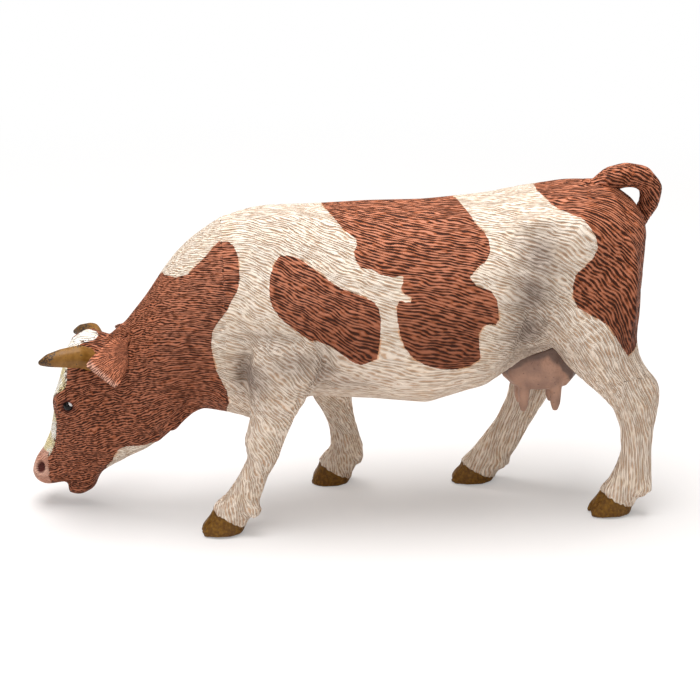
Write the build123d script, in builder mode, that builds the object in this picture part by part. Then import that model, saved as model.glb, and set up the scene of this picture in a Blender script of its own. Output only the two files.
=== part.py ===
"""A dairy cow figurine: soft vinyl mouldings with keyed spigots, glued together and painted by hand.

The cow walks towards -X and stands on the floor at Z = 0. Its left side faces -Y. Lengths are millimetres.
Tables whose names end in shares hold proportions, and the named sizes below turn them into lengths.
"""

from build123d import *
from math import cos, radians, sin
import os

# Overall sizes
withers_height = 80.0  # floor to the top of the shoulders
trunk_length = 102.5  # neck joint to the buttocks
barrel_width = 43.0
neck_reach = 50.0  # neck joint to the nose, along the body
head_width = 18.6  # across the brow
head_turn = 17.0  # degrees, away from the left side
head_tilt = 4.0  # degrees, the left side up
track_width = 27.0  # between the middles of a pair of hooves
hoof_width = 9.0
middle_x = -1.45  # half way between nose and tail, from the place that the tables count from
middle_y = 0.8  # half way across, where the turned head is counted too

# Joints between the mouldings
fore_joint_share = 0.4625  # height in withers heights
hind_joint_share = 0.46875
leg_spigot_depth = 6.0  # fore and aft
leg_spigot_width = 4.0
leg_spigot_length = 6.0
neck_spigot_height = 22.0
neck_spigot_width = 12.0
neck_spigot_length = 9.0
glue_gap = 0.1  # all round a spigot
socket_relief = 0.4  # beyond the end of a spigot

# Head details
horn_radius = 2.9
ear_length = 10.4
ear_width = 9.8
ear_thickness = 2.4
pin_radius = 0.9
pin_length = 2.4
eye_radius = 1.3
nostril_radius = 0.8

# Udder and tail
udder_length = 20.5
udder_width = 11.6
udder_peg_radius = 2.5
udder_peg_length = 5.0
teat_radius = 1.3
teat_length = 6.2
tail_radius = 2.6
tail_peg_radius = 1.4
tail_peg_length = 5.0

# Hooves
cleft_width = 0.9
cleft_length = 6.5
cleft_height = 5.0
dewclaw_radius = 1.0
dewclaw_length = 1.7
dewclaw_sink_share = 1.2  # how far its middle lies inside the leg, in its radii

# Sides of the sections
body_sides = 18
limb_sides = 10
small_sides = 8
peg_sides = 6

# Places along the trunk, in trunk lengths
neck_joint_share = 0.30244  # from the neck joint to the place that the tables count from
fore_share = 0.156
hind_share = 0.868
udder_share = 0.765
dock_shares = (0.875, 81.3)  # along, and up in grades
turn_share = 0.24  # where the neck bends, in neck reaches

# The steps in which the tables count: grades up, paces along the trunk and reaches forwards from the neck joint
grade = withers_height / 80
pace = trunk_length / 100
reach_step = neck_reach / 50
trunk_front = -neck_joint_share * trunk_length - middle_x
fore_x = trunk_front + fore_share * trunk_length
hind_x = trunk_front + hind_share * trunk_length
turn_reach = turn_share * neck_reach

# Place along the trunk, lowest and highest in grades, half width, fullness above and below, and height of the
# widest line from the middle
trunk_shares = [
    (0.00, 27.0, 76.8, 0.66, 0.90, 0.92, 0.00),
    (0.075, 24.4, 78.8, 0.77, 0.86, 0.90, -0.04),
    (0.20, 31.0, 79.2, 0.89, 0.88, 0.96, -0.10),
    (0.35, 30.1, 79.5, 0.98, 0.96, 1.02, -0.12),
    (0.48, 28.5, 79.4, 1.00, 0.98, 1.04, -0.14),
    (0.62, 32.3, 80.4, 0.97, 0.98, 1.02, -0.10),
    (0.72, 38.8, 81.8, 0.89, 1.06, 1.00, 0.10),
    (0.83, 42.0, 82.8, 0.84, 1.10, 1.00, 0.30),
    (0.92, 42.5, 82.0, 0.70, 1.04, 1.00, 0.20),
    (0.97, 45.0, 78.6, 0.54, 1.00, 1.00, 0.06),
    (0.995, 51.0, 73.0, 0.34, 1.00, 1.00, 0.00),
]

# Height in grades, front and back edge in paces from the limb's own place, distance from the middle in half
# tracks, and half width in half hooves
fore_left_shares = [
    (68.0, -4.88, 9.76, 0.52, 0.90),
    (58.0, -11.22, 13.17, 0.68, 1.50),
    (49.0, -13.27, 13.07, 0.80, 1.70),
    (42.0, -11.12, 8.20, 0.90, 1.50),
    (36.0, -10.24, 4.29, 0.95, 1.24),
    (30.0, -10.44, 0.39, 0.98, 1.04),
    (24.5, -11.90, -1.95, 1.00, 1.00),
    (19.5, -11.32, -3.61, 1.00, 0.80),
    (15.0, -13.37, -6.05, 1.00, 0.70),
    (10.0, -16.59, -7.71, 1.00, 0.83),
    (6.4, -19.80, -9.37, 1.00, 0.86),
    (2.6, -22.05, -11.32, 1.00, 0.98),
    (0.0, -22.83, -12.10, 1.00, 1.00),
]
fore_right_shares = [
    (68.0, -4.88, 9.76, 0.52, 0.90),
    (58.0, -11.22, 13.17, 0.68, 1.50),
    (49.0, -11.22, 14.63, 0.80, 1.70),
    (42.0, -5.85, 15.02, 0.90, 1.50),
    (36.0, -0.59, 15.41, 0.95, 1.24),
    (30.0, 3.51, 16.00, 0.98, 1.04),
    (24.5, 6.24, 16.49, 1.00, 1.00),
    (19.5, 9.17, 16.98, 1.00, 0.80),
    (15.0, 10.73, 18.05, 1.00, 0.70),
    (10.0, 11.02, 19.51, 1.00, 0.83),
    (6.4, 8.59, 18.54, 1.00, 0.86),
    (2.6, 6.15, 16.88, 1.00, 0.98),
    (0.0, 5.46, 16.20, 1.00, 1.00),
]
hind_left_shares = [
    (74.0, -7.80, 7.80, 0.52, 1.10),
    (64.0, -13.17, 11.71, 0.72, 1.70),
    (55.0, -14.15, 11.71, 0.80, 1.86),
    (47.5, -11.71, 11.41, 0.86, 1.74),
    (41.5, -7.61, 12.29, 0.89, 1.45),
    (36.5, -2.83, 14.83, 0.91, 1.14),
    (32.5, 1.56, 16.98, 0.92, 0.98),
    (28.5, 5.37, 16.88, 0.93, 0.90),
    (23.0, 7.51, 16.00, 0.93, 0.75),
    (17.0, 8.00, 15.71, 0.93, 0.68),
    (13.0, 7.02, 16.00, 0.93, 0.74),
    (9.0, 5.27, 16.20, 0.93, 0.86),
    (5.8, 3.12, 13.95, 0.93, 0.88),
    (2.5, 0.88, 12.10, 0.93, 0.97),
    (0.0, 0.10, 11.61, 0.93, 1.00),
]
hind_right_shares = [
    (74.0, -7.80, 7.80, 0.52, 1.10),
    (64.0, -14.15, 11.22, 0.72, 1.70),
    (55.0, -16.59, 10.73, 0.78, 1.86),
    (47.5, -17.07, 9.37, 0.82, 1.74),
    (41.5, -16.39, 6.44, 0.82, 1.45),
    (36.5, -15.41, 3.32, 0.80, 1.14),
    (32.5, -15.02, 0.78, 0.78, 0.98),
    (28.5, -15.22, -1.95, 0.77, 0.90),
    (23.0, -16.20, -5.46, 0.77, 0.78),
    (17.0, -18.73, -8.78, 0.77, 0.70),
    (13.0, -21.46, -10.93, 0.77, 0.76),
    (9.0, -24.29, -12.88, 0.77, 0.86),
    (5.8, -26.93, -15.02, 0.77, 0.88),
    (2.5, -29.27, -17.76, 0.77, 0.97),
    (0.0, -30.05, -18.63, 0.77, 1.00),
]

# Top and bottom of each section of neck and head, each as a reach from the neck joint and a height in grades,
# then half width, fullness above and below, and height of the widest line. The neck's half width is in half
# barrels, and the head's in half heads.
neck_shares = [
    (0.0, 76.8, 0.0, 27.0, 0.66, 0.90, 0.92, 0.00),
    (6.5, 72.4, 5.0, 27.9, 0.62, 0.86, 0.86, 0.00),
    (10.5, 68.8, 8.4, 27.0, 0.58, 0.85, 0.82, 0.02),
    (13.5, 65.4, 11.6, 23.0, 0.55, 0.84, 0.80, 0.04),
    (19.0, 57.0, 15.5, 20.0, 0.48, 0.86, 0.80, 0.08),
]
head_shares = [
    (24.5, 49.8, 20.0, 16.6, 0.97, 0.90, 0.80, 0.12),
    (29.2, 45.6, 24.0, 14.4, 0.87, 1.00, 0.90, 0.24),
    (34.6, 46.9, 27.4, 12.2, 0.97, 1.02, 0.95, 0.32),
    (38.5, 44.4, 30.0, 10.8, 0.99, 1.04, 0.95, 0.38),
    (40.4, 37.8, 32.2, 9.6, 0.97, 1.05, 0.95, 0.40),
    (42.2, 31.4, 34.6, 8.2, 0.88, 1.06, 0.95, 0.32),
    (43.5, 25.8, 37.2, 7.0, 0.72, 1.04, 0.98, 0.16),
    (44.7, 20.0, 40.0, 6.2, 0.62, 1.02, 1.00, 0.06),
    (46.9, 15.2, 42.8, 5.5, 0.60, 1.02, 1.02, 0.00),
    (48.9, 12.2, 45.4, 5.0, 0.60, 1.04, 1.04, 0.00),
    (49.8, 9.6, 47.4, 5.6, 0.44, 1.00, 1.00, 0.00),
]
chin_shares = [
    (35.0, 14.0, 31.0, 10.4, 0.46, 1.00, 1.00, 0.00),
    (37.4, 9.6, 34.2, 6.0, 0.46, 1.00, 1.00, 0.00),
    (39.4, 7.6, 37.2, 2.7, 0.40, 1.00, 1.00, 0.00),
    (40.8, 6.6, 40.2, 2.6, 0.30, 1.00, 1.00, 0.00),
]
eye_shares = (36.9, 0.86, 30.0)  # reach, distance from the middle in half heads, height
nostril_shares = (47.9, 0.36, 11.0)

# Middle of the left horn and its thickness: reach, distance from the middle in half heads, height, radius
horn_shares = [
    (31.0, 0.72, 42.0, 1.04),
    (33.6, 1.06, 42.9, 1.00),
    (36.6, 1.34, 43.1, 0.82),
    (39.6, 1.50, 42.7, 0.56),
    (41.8, 1.56, 42.0, 0.16),
]

# The left ear's root, then its sections: distance along its length, width and thickness
ear_root_shares = (22.6, 0.56, 46.0)
ear_shares = [
    (0.00, 0.52, 1.00),
    (0.30, 0.78, 0.96),
    (0.62, 0.93, 0.78),
    (0.86, 1.00, 0.54),
    (1.00, 0.94, 0.30),
]
ear_slope_shares = (0.42, 0.66, 0.62)  # forwards, out and down
ear_breadth_shares = (0.75, 0.0, -0.66)  # forwards, out and down

# Level sections of the udder: height in grades, front and back in half lengths, half width in half udders
udder_shares = [
    (44.0, -0.80, 0.90, 0.90),
    (37.5, -1.00, 1.00, 1.00),
    (33.2, -0.90, 0.96, 0.94),
    (30.8, -0.66, 0.78, 0.74),
    (29.8, -0.30, 0.44, 0.40),
]
teat_places_shares = [(-0.40, 0.50), (0.38, 0.54)]  # along in half lengths, across in half widths
teat_shares = [(-0.3, 1.3), (0.0, 1.2), (0.7, 1.0), (1.0, 0.5)]  # place down its length, and thickness

# Middle of the tail from the dock: along in paces, out to the right in half barrels and up in grades, and its
# thickness
tail_shares = [
    (0.00, 0.000, 0.0, 1.00),
    (3.90, 0.000, 1.8, 1.04),
    (8.29, 0.009, 2.9, 1.02),
    (12.29, 0.033, 2.0, 1.00),
    (14.83, 0.065, -1.0, 0.96),
    (14.83, 0.121, -4.8, 0.84),
    (13.07, 0.195, -9.6, 0.68),
    (11.71, 0.298, -15.4, 0.64),
    (11.32, 0.381, -23.0, 0.62),
    (10.73, 0.419, -31.0, 0.74),
    (9.37, 0.428, -38.0, 0.98),
    (7.61, 0.419, -44.0, 0.80),
    (6.44, 0.409, -48.0, 0.34),
]


def egg(plane, half_width, half_height, crown_share, keel_share, belt_share, sides):
    """One egg-shaped section: the shares set how full it is above and below its widest line."""
    belt = half_height * belt_share
    outline = []
    for step in range(sides):
        sideways, upwards = sin(radians(360 * step / sides)), cos(radians(360 * step / sides))
        fullness = crown_share if upwards > 0 else keel_share
        reach = half_height - belt if upwards > 0 else half_height + belt
        bulge = 1 + (fullness - 1) * abs(2 * sideways * upwards)
        outline.append((half_width * sideways * bulge, belt + reach * upwards))
    with BuildSketch(plane) as section:
        with BuildLine():
            Polyline(*outline, close=True)
        make_face()
    return section.sketch.face()


def trunk_section(along, low, high, width, crown, keel, belt):
    """A section across the trunk, on an upright plane."""
    x = trunk_front + trunk_length * along
    plane = Plane((x, -middle_y, (low + high) / 2 * grade), x_dir=(0, 1, 0), z_dir=(1, 0, 0))
    return egg(plane, width * barrel_width / 2, (high - low) / 2 * grade, crown, keel, belt, body_sides)


def limb_section(place_x, side, height, front, back, out, width):
    """A level section through a limb, with its fore and aft length along the sketch's height."""
    x = place_x + (front + back) / 2 * pace
    y = side * out * track_width / 2 - middle_y
    plane = Plane((x, y, height * grade), x_dir=(0, 1, 0), z_dir=(0, 0, 1))
    return egg(plane, width * hoof_width / 2, (back - front) / 2 * pace, 1.0, 1.0, 0.0, limb_sides)


def head_point(reach, across, height):
    """A point of neck or head: reach and height from the tables, and a distance to the right, after the turn."""
    pivot = Vector(trunk_front - turn_reach, -middle_y, 0)
    arm = Vector(turn_reach - reach * reach_step, across, height * grade)
    if reach * reach_step > turn_reach:
        arm = (arm - Vector(0, 0, across * sin(radians(head_tilt)))).rotate(Axis.Z, -head_turn)
    return pivot + arm


def neck_section(top_reach, top, bottom_reach, bottom, width, crown, keel, belt, full_width):
    """A section of the neck or head between a point on its top line and one below."""
    upper = head_point(top_reach, 0, top)
    lower = head_point(bottom_reach, 0, bottom)
    rise = (upper - lower).normalized()
    across = head_point(top_reach, 1, top) - upper
    plane = Plane((upper + lower) * 0.5, x_dir=across, z_dir=across.cross(rise))
    return egg(plane, width * full_width / 2, (upper - lower).length / 2, crown, keel, belt, body_sides)


def limb(place_x, side, shares):
    """A whole limb from inside the trunk down to the flat sole."""
    with BuildPart() as whole:
        loft(sections=[limb_section(place_x, side, *row) for row in shares], ruled=True)
    return whole.part


def joint_middle(place_x, side, shares, height):
    """The middle of a limb where a level joint cuts it."""
    above = min((row for row in shares if row[0] * grade >= height), key=lambda row: row[0])
    below = max((row for row in shares if row[0] * grade < height), key=lambda row: row[0])
    part = (height / grade - below[0]) / (above[0] - below[0])
    front, back, out = (low + (high - low) * part for low, high in zip(below[1:4], above[1:4]))
    return Vector(place_x + (front + back) / 2 * pace, side * out * track_width / 2 - middle_y, height)


def spigot(place, direction, sideways, width, depth, length):
    """A keyed block that stands on a joint."""
    with BuildPart() as block:
        with BuildSketch(Plane(place, x_dir=sideways, z_dir=direction)):
            Rectangle(width, depth)
        extrude(amount=length)
    return block.part


def tube(spots, radii, sides):
    """A tapering tube of flat-sided rings through a row of points."""
    with BuildPart() as body:
        rings = []
        for place, (spot, radius) in enumerate(zip(spots, radii)):
            before, after = spots[max(place - 1, 0)], spots[min(place + 1, len(spots) - 1)]
            direction = (after - before).normalized()
            sideways = Vector(0, 0, 1) if abs(direction.Z) < abs(direction.X) + abs(direction.Y) else Vector(1, 0, 0)
            with BuildSketch(Plane(spot, x_dir=direction.cross(sideways), z_dir=direction)) as ring:
                RegularPolygon(radius, sides)
            rings.append(ring.sketch.face())
        loft(sections=rings, ruled=True)
    return body.part


def peg(start, direction, radius, length):
    """A six-sided peg, which can't turn in its hole."""
    with BuildPart() as pin:
        with BuildSketch(Plane(start, z_dir=direction)):
            RegularPolygon(radius, peg_sides)
        extrude(amount=length)
    return pin.part


# Limbs, each parted at a level joint: the upper half belongs to the trunk's moulding
fore_joint = fore_joint_share * withers_height
hind_joint = hind_joint_share * withers_height
limbs = {
    "front_left_leg": (fore_x, -1, fore_left_shares, fore_joint),
    "front_right_leg": (fore_x, 1, fore_right_shares, fore_joint),
    "rear_left_leg": (hind_x, -1, hind_left_shares, hind_joint),
    "rear_right_leg": (hind_x, 1, hind_right_shares, hind_joint),
}
upper_limbs, lower_limbs, sockets = {}, {}, []
for name, (place_x, side, shares, joint) in limbs.items():
    whole = limb(place_x, side, shares)
    upper_limbs[name] = whole.split(Plane.XY.offset(joint), keep=Keep.TOP)
    lower_limbs[name] = whole.split(Plane.XY.offset(joint), keep=Keep.BOTTOM)

# Trunk, which gives way to the tops of the legs
with BuildPart() as torso:
    loft(sections=[trunk_section(*row) for row in trunk_shares], ruled=True)
    for upper in upper_limbs.values():
        add(upper)
    for lower in lower_limbs.values():
        add(lower, mode=Mode.SUBTRACT)

os.makedirs("parts", exist_ok=True)

# Legs, each with a spigot for its socket in the trunk, a cleft in front and two dewclaws behind
for name, (place_x, side, shares, joint) in limbs.items():
    root = joint_middle(place_x, side, shares, joint)
    pastern, sole = shares[-3], shares[-1]
    with BuildPart() as leg:
        add(lower_limbs[name])
        add(spigot(root, (0, 0, 1), (0, 1, 0), leg_spigot_width, leg_spigot_depth, leg_spigot_length))
        toe = Vector(place_x + sole[1] * pace, side * sole[3] * track_width / 2 - middle_y, 0)
        with BuildSketch(Plane(toe, x_dir=(1, 0, 0), z_dir=(0, 0, 1))):
            with BuildLine():
                Polyline(
                    (-cleft_width, -cleft_width),
                    (cleft_length, 0),
                    (-cleft_width, cleft_width),
                    close=True,
                )
            make_face()
        extrude(amount=cleft_height, mode=Mode.SUBTRACT)
        for half in (-1, 1):
            heel = Vector(
                place_x + pastern[2] * pace - dewclaw_radius * dewclaw_sink_share,
                side * pastern[3] * track_width / 2 - middle_y + half * hoof_width / 4,
                pastern[0] * grade + dewclaw_radius / 2,
            )
            back = Vector(1, 0, -1).normalized()
            start = heel - back * dewclaw_length
            tip = heel + back * dewclaw_length
            add(tube([start, heel, tip], [dewclaw_radius, dewclaw_radius, dewclaw_radius / 3], small_sides))
    leg.part.label = name
    export_step(leg.part, f"parts/{name}.step")
    sockets.append(
        spigot(
            root,
            (0, 0, 1),
            (0, 1, 0),
            leg_spigot_width + 2 * glue_gap,
            leg_spigot_depth + 2 * glue_gap,
            leg_spigot_length + socket_relief,
        )
    )

# Head and neck
neck_root = Vector(trunk_front, -middle_y, (neck_shares[0][1] + neck_shares[0][3]) / 2 * grade)
half_head = head_width / 2
with BuildPart() as chin:
    loft(sections=[neck_section(*row, head_width) for row in chin_shares], ruled=True)

with BuildPart() as head:
    loft(
        sections=[neck_section(*row, barrel_width) for row in neck_shares]
        + [neck_section(*row, head_width) for row in head_shares],
        ruled=True,
    )
    add(chin.part)
    add(spigot(neck_root, (1, 0, 0), (0, 1, 0), neck_spigot_width, neck_spigot_height, neck_spigot_length))
    for side in (-1, 1):
        reach, out, height = eye_shares
        eye = head_point(reach, side * out * half_head, height)
        outwards = head_point(reach, side * (out * half_head + 1), height) - eye
        add(tube([eye, eye + outwards * eye_radius], [eye_radius, eye_radius / 2], small_sides))
        reach, out, height = nostril_shares
        nostril = head_point(reach, side * out * half_head, height)
        forwards = head_point(reach + 1 / reach_step, side * out * half_head, height) - nostril
        hollow = [nostril - forwards * nostril_radius, nostril + forwards * nostril_radius * 2]
        add(tube(hollow, [nostril_radius / 2, nostril_radius], small_sides), mode=Mode.SUBTRACT)
sockets.append(
    spigot(
        neck_root,
        (1, 0, 0),
        (0, 1, 0),
        neck_spigot_width + 2 * glue_gap,
        neck_spigot_height + 2 * glue_gap,
        neck_spigot_length + socket_relief,
    )
)
skull = head.part

# Horns and ears, each with a pin in the skull
ear_root_reach, ear_root_out, ear_root_height = ear_root_shares
pin_holes = []
for side, name in ((-1, "left"), (1, "right")):
    spots = [head_point(reach, side * out * half_head, height) for reach, out, height, thick in horn_shares]
    inwards = (spots[0] - spots[1]).normalized()
    with BuildPart() as horn:
        add(tube(spots, [horn_radius * row[3] for row in horn_shares], small_sides))
        add(skull, mode=Mode.SUBTRACT)
        add(peg(spots[1], inwards, pin_radius, (spots[1] - spots[0]).length + pin_length))
    horn.part.label = f"{name}_horn"
    export_step(horn.part, f"parts/{name}_horn.step")
    pin_holes.append(
        peg(spots[1], inwards, pin_radius + glue_gap, (spots[1] - spots[0]).length + pin_length + socket_relief)
    )

    root = head_point(ear_root_reach, side * ear_root_out * half_head, ear_root_height)
    axes = [
        head_point(ear_root_reach + 1 / reach_step, side * ear_root_out * half_head, ear_root_height) - root,
        head_point(ear_root_reach, side * (ear_root_out * half_head + 1), ear_root_height) - root,
        Vector(0, 0, -1),
    ]
    slope = sum((axis * share for axis, share in zip(axes, ear_slope_shares)), Vector()).normalized()
    breadth = sum((axis * share for axis, share in zip(axes, ear_breadth_shares)), Vector())
    with BuildPart() as ear:
        leaves = []
        for along, wide, thick in ear_shares:
            plane = Plane(root + slope * ear_length * along, x_dir=slope.cross(breadth), z_dir=slope)
            leaves.append(
                egg(plane, thick * ear_thickness / 2, wide * ear_width / 2, 1.0, 1.0, 0.0, small_sides)
            )
        loft(sections=leaves, ruled=True)
        add(skull, mode=Mode.SUBTRACT)
        ear_middle = root + slope * ear_length * ear_shares[1][0]
        ear_pin_reach = ear_length * ear_shares[1][0] + pin_length
        add(peg(ear_middle, slope * -1, pin_radius, ear_pin_reach))
    ear.part.label = f"{name}_ear"
    export_step(ear.part, f"parts/{name}_ear.step")
    pin_holes.append(
        peg(ear_middle, slope * -1, pin_radius + glue_gap, ear_pin_reach + socket_relief)
    )

with BuildPart() as drilled_head:
    add(skull)
    for hole in pin_holes:
        add(hole, mode=Mode.SUBTRACT)
drilled_head.part.label = "head"
export_step(drilled_head.part, "parts/head.step")

# Udder with four teats and a peg into the belly
udder_x = trunk_front + udder_share * trunk_length
udder_top = Vector(udder_x, -middle_y, udder_shares[1][0] * grade)
with BuildPart() as udder:
    levels = []
    for height, front, back, width in udder_shares:
        x = udder_x + (front + back) / 2 * udder_length / 2
        plane = Plane((x, -middle_y, height * grade), x_dir=(0, 1, 0), z_dir=(0, 0, 1))
        levels.append(
            egg(plane, width * udder_width / 2, (back - front) / 2 * udder_length / 2, 1.0, 1.0, 0.0, limb_sides)
        )
    loft(sections=levels, ruled=True)
    add(torso.part, mode=Mode.SUBTRACT)
    for along, out in teat_places_shares:
        for side in (-1, 1):
            teat_top = Vector(
                udder_x + along * udder_length / 2,
                side * out * udder_width / 2 - middle_y,
                udder_shares[3][0] * grade,
            )
            drop = Vector(0, 0, -teat_length)
            spots = [teat_top + drop * place for place, thick in teat_shares]
            add(tube(spots, [teat_radius * thick for place, thick in teat_shares], small_sides))
    udder_peg_reach = (udder_shares[0][0] - udder_shares[1][0]) * grade + udder_peg_length
    add(peg(udder_top, (0, 0, 1), udder_peg_radius, udder_peg_reach))
udder.part.label = "udder"
export_step(udder.part, "parts/udder.step")
sockets.append(
    peg(udder_top, (0, 0, 1), udder_peg_radius + glue_gap, udder_peg_reach + socket_relief)
)

# Tail, laid over the right buttock, with a peg in the dock
dock = Vector(trunk_front + dock_shares[0] * trunk_length, -middle_y, dock_shares[1] * grade)
tail_spots = [
    dock + Vector(along * pace, out * barrel_width / 2, up * grade) for along, out, up, thick in tail_shares
]
tail_peg_direction = (tail_spots[0] - tail_spots[1]).normalized()
tail_peg_reach = (tail_spots[1] - tail_spots[0]).length + tail_peg_length
with BuildPart() as tail:
    add(tube(tail_spots, [tail_radius * row[3] for row in tail_shares], small_sides))
    add(torso.part, mode=Mode.SUBTRACT)
    add(peg(tail_spots[1], tail_peg_direction, tail_peg_radius, tail_peg_reach))
tail.part.label = "tail"
export_step(tail.part, "parts/tail.step")
sockets.append(
    peg(tail_spots[1], tail_peg_direction, tail_peg_radius + glue_gap, tail_peg_reach + socket_relief)
)

with BuildPart() as bored_torso:
    add(torso.part)
    for socket in sockets:
        add(socket, mode=Mode.SUBTRACT)
bored_torso.part.label = "torso"
export_step(bored_torso.part, "parts/torso.step")
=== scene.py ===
"""A dairy cow figurine, moulded in soft vinyl and painted by hand.

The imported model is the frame: its mouldings are copied, welded and remeshed into one skin, which is modelled
further here and then parted again along the same joints. Lengths in this file are millimetres unless a name
ends in _m, and the cow walks towards -X with its left side facing -Y.
"""

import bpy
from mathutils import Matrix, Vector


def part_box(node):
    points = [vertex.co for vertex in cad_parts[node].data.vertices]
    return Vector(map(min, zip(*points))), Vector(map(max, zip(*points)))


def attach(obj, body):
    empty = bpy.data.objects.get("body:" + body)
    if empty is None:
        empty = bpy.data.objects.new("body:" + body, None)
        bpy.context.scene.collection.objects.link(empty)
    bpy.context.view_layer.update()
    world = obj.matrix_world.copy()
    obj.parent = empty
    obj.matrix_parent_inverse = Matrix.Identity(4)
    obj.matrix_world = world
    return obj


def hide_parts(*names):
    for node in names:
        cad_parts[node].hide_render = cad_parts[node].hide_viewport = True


bl_info = {
    "name": "Dairy cow figurine",
    "version": (1, 0, 0),
    "blender": (4, 5, 0),
    "location": "View3D > Sidebar > Figurine",
    "description": "Builds the mouldings of a painted cow figurine and the stage it stands on",
    "category": "Object",
}

from math import cos, pi, radians, sin

import bmesh
import bpy
import numpy as np
from mathutils import Vector
from mathutils.bvhtree import BVHTree

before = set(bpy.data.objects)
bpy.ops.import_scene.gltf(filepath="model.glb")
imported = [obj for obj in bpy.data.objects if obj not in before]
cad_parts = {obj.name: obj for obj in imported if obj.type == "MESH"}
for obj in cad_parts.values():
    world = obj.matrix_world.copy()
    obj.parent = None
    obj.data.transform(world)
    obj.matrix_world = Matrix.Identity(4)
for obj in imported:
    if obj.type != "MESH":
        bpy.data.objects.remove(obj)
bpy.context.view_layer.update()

MM = 0.001
LEGS = ("front_left_leg", "front_right_leg", "rear_left_leg", "rear_right_leg")
COATED = ("torso", "head") + LEGS
BODY = "root"


def paint(red, green, blue):
    """A colour as a paint chart gives it, 0 to 255, turned into the shader's linear values."""
    shares = [value / 255 for value in (red, green, blue)]
    return tuple(v / 12.92 if v <= 0.04045 else ((v + 0.055) / 1.055) ** 2.4 for v in shares)


# Settings


class CoatSettings(bpy.types.PropertyGroup):
    """Sizes and colours of the moulded and painted coat."""

    body_voxel: bpy.props.FloatProperty(
        name="Body mesh", description="Quads on the torso, in millimetres", default=0.42, min=0.3, max=2.0
    )
    limb_voxel: bpy.props.FloatProperty(
        name="Limb mesh", description="Quads on head and legs, in millimetres, halved later", default=0.52,
        min=0.3, max=2.0,
    )
    lock_depth: bpy.props.FloatProperty(
        name="Lock depth", description="Depth of the moulded locks of hair, in millimetres", default=0.16,
        min=0.0, max=0.5,
    )
    groove_pitch: bpy.props.FloatProperty(
        name="Groove pitch", description="Distance between two grooves of the hair, in millimetres",
        default=0.66, min=0.2, max=2.0,
    )
    brown: bpy.props.FloatVectorProperty(
        name="Brown", description="Brown patches", subtype="COLOR", default=paint(157, 86, 52), min=0, max=1
    )
    # dark wash in the brown grooves, which also stands in for the shade in them
    brown_groove: bpy.props.FloatVectorProperty(
        name="Brown groove", description="Dark wash in the brown grooves", subtype="COLOR",
        default=paint(58, 24, 8), min=0, max=1,
    )
    cream: bpy.props.FloatVectorProperty(
        name="Cream", description="Cream coat", subtype="COLOR", default=paint(243, 229, 213), min=0, max=1
    )
    # tan wash in the cream grooves, which also stands in for the shade in them
    cream_groove: bpy.props.FloatVectorProperty(
        name="Cream groove", description="Tan wash in the cream grooves", subtype="COLOR",
        default=paint(196, 156, 122), min=0, max=1,
    )
    # painted shade: grey sprayed into the hollows where shade falls
    shade: bpy.props.FloatVectorProperty(
        name="Shading", description="Grey sprayed into the hollows", subtype="COLOR",
        default=paint(146, 128, 118), min=0, max=1,
    )


class TrimSettings(bpy.types.PropertyGroup):
    """Colours of hooves, horns, udder, muzzle and eyes."""

    hoof: bpy.props.FloatVectorProperty(
        name="Hoof", description="Painted hooves", subtype="COLOR", default=paint(92, 58, 10), min=0, max=1
    )
    horn: bpy.props.FloatVectorProperty(
        name="Horn", description="Painted horns", subtype="COLOR", default=paint(122, 82, 26), min=0, max=1
    )
    horn_tip: bpy.props.FloatVectorProperty(
        name="Horn tip", description="Dark tips of the horns", subtype="COLOR", default=paint(40, 32, 30),
        min=0, max=1,
    )
    udder: bpy.props.FloatVectorProperty(
        name="Udder", description="Skin of the udder", subtype="COLOR", default=paint(178, 138, 116),
        min=0, max=1,
    )
    muzzle: bpy.props.FloatVectorProperty(
        name="Muzzle", description="Pink of the muzzle", subtype="COLOR", default=paint(196, 140, 118), min=0,
        max=1,
    )
    blaze: bpy.props.FloatVectorProperty(
        name="Blaze", description="Pale stripe on the face", subtype="COLOR", default=paint(240, 226, 176),
        min=0, max=1,
    )


class StageSettings(bpy.types.PropertyGroup):
    """The camera, the light and the floor."""

    lens: bpy.props.FloatProperty(
        name="Lens", description="Focal length", default=100.0, min=20.0, max=300.0, subtype="DISTANCE_CAMERA"
    )
    azimuth: bpy.props.FloatProperty(
        name="Azimuth", description="Turn of the camera from the cow's left side", default=radians(-6.0),
        subtype="ANGLE",
    )
    elevation: bpy.props.FloatProperty(
        name="Elevation", description="Height of the camera", default=radians(21.0), subtype="ANGLE"
    )
    reach: bpy.props.FloatProperty(
        name="Reach", description="Distance from the camera to its target, in millimetres", default=479.0
    )
    overhead: bpy.props.FloatProperty(
        name="Overhead", description="Power of the lamp above the cow, in watts", default=7.3, min=0.0
    )
    front: bpy.props.FloatProperty(
        name="Front", description="Power of the lamp before the cow, in watts", default=1.4, min=0.0
    )
    surround: bpy.props.FloatProperty(
        name="Surround", description="Strength of the warm light all round", default=0.29, min=0.0
    )
    surround_tint: bpy.props.FloatVectorProperty(
        name="Surround tint", description="Colour of the light all round", subtype="COLOR",
        default=(1.0, 0.92, 0.84), min=0, max=1,
    )
    floor: bpy.props.FloatVectorProperty(
        name="Floor", description="Studio floor", subtype="COLOR", default=paint(234, 231, 230), min=0, max=1
    )


# Tables

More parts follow.
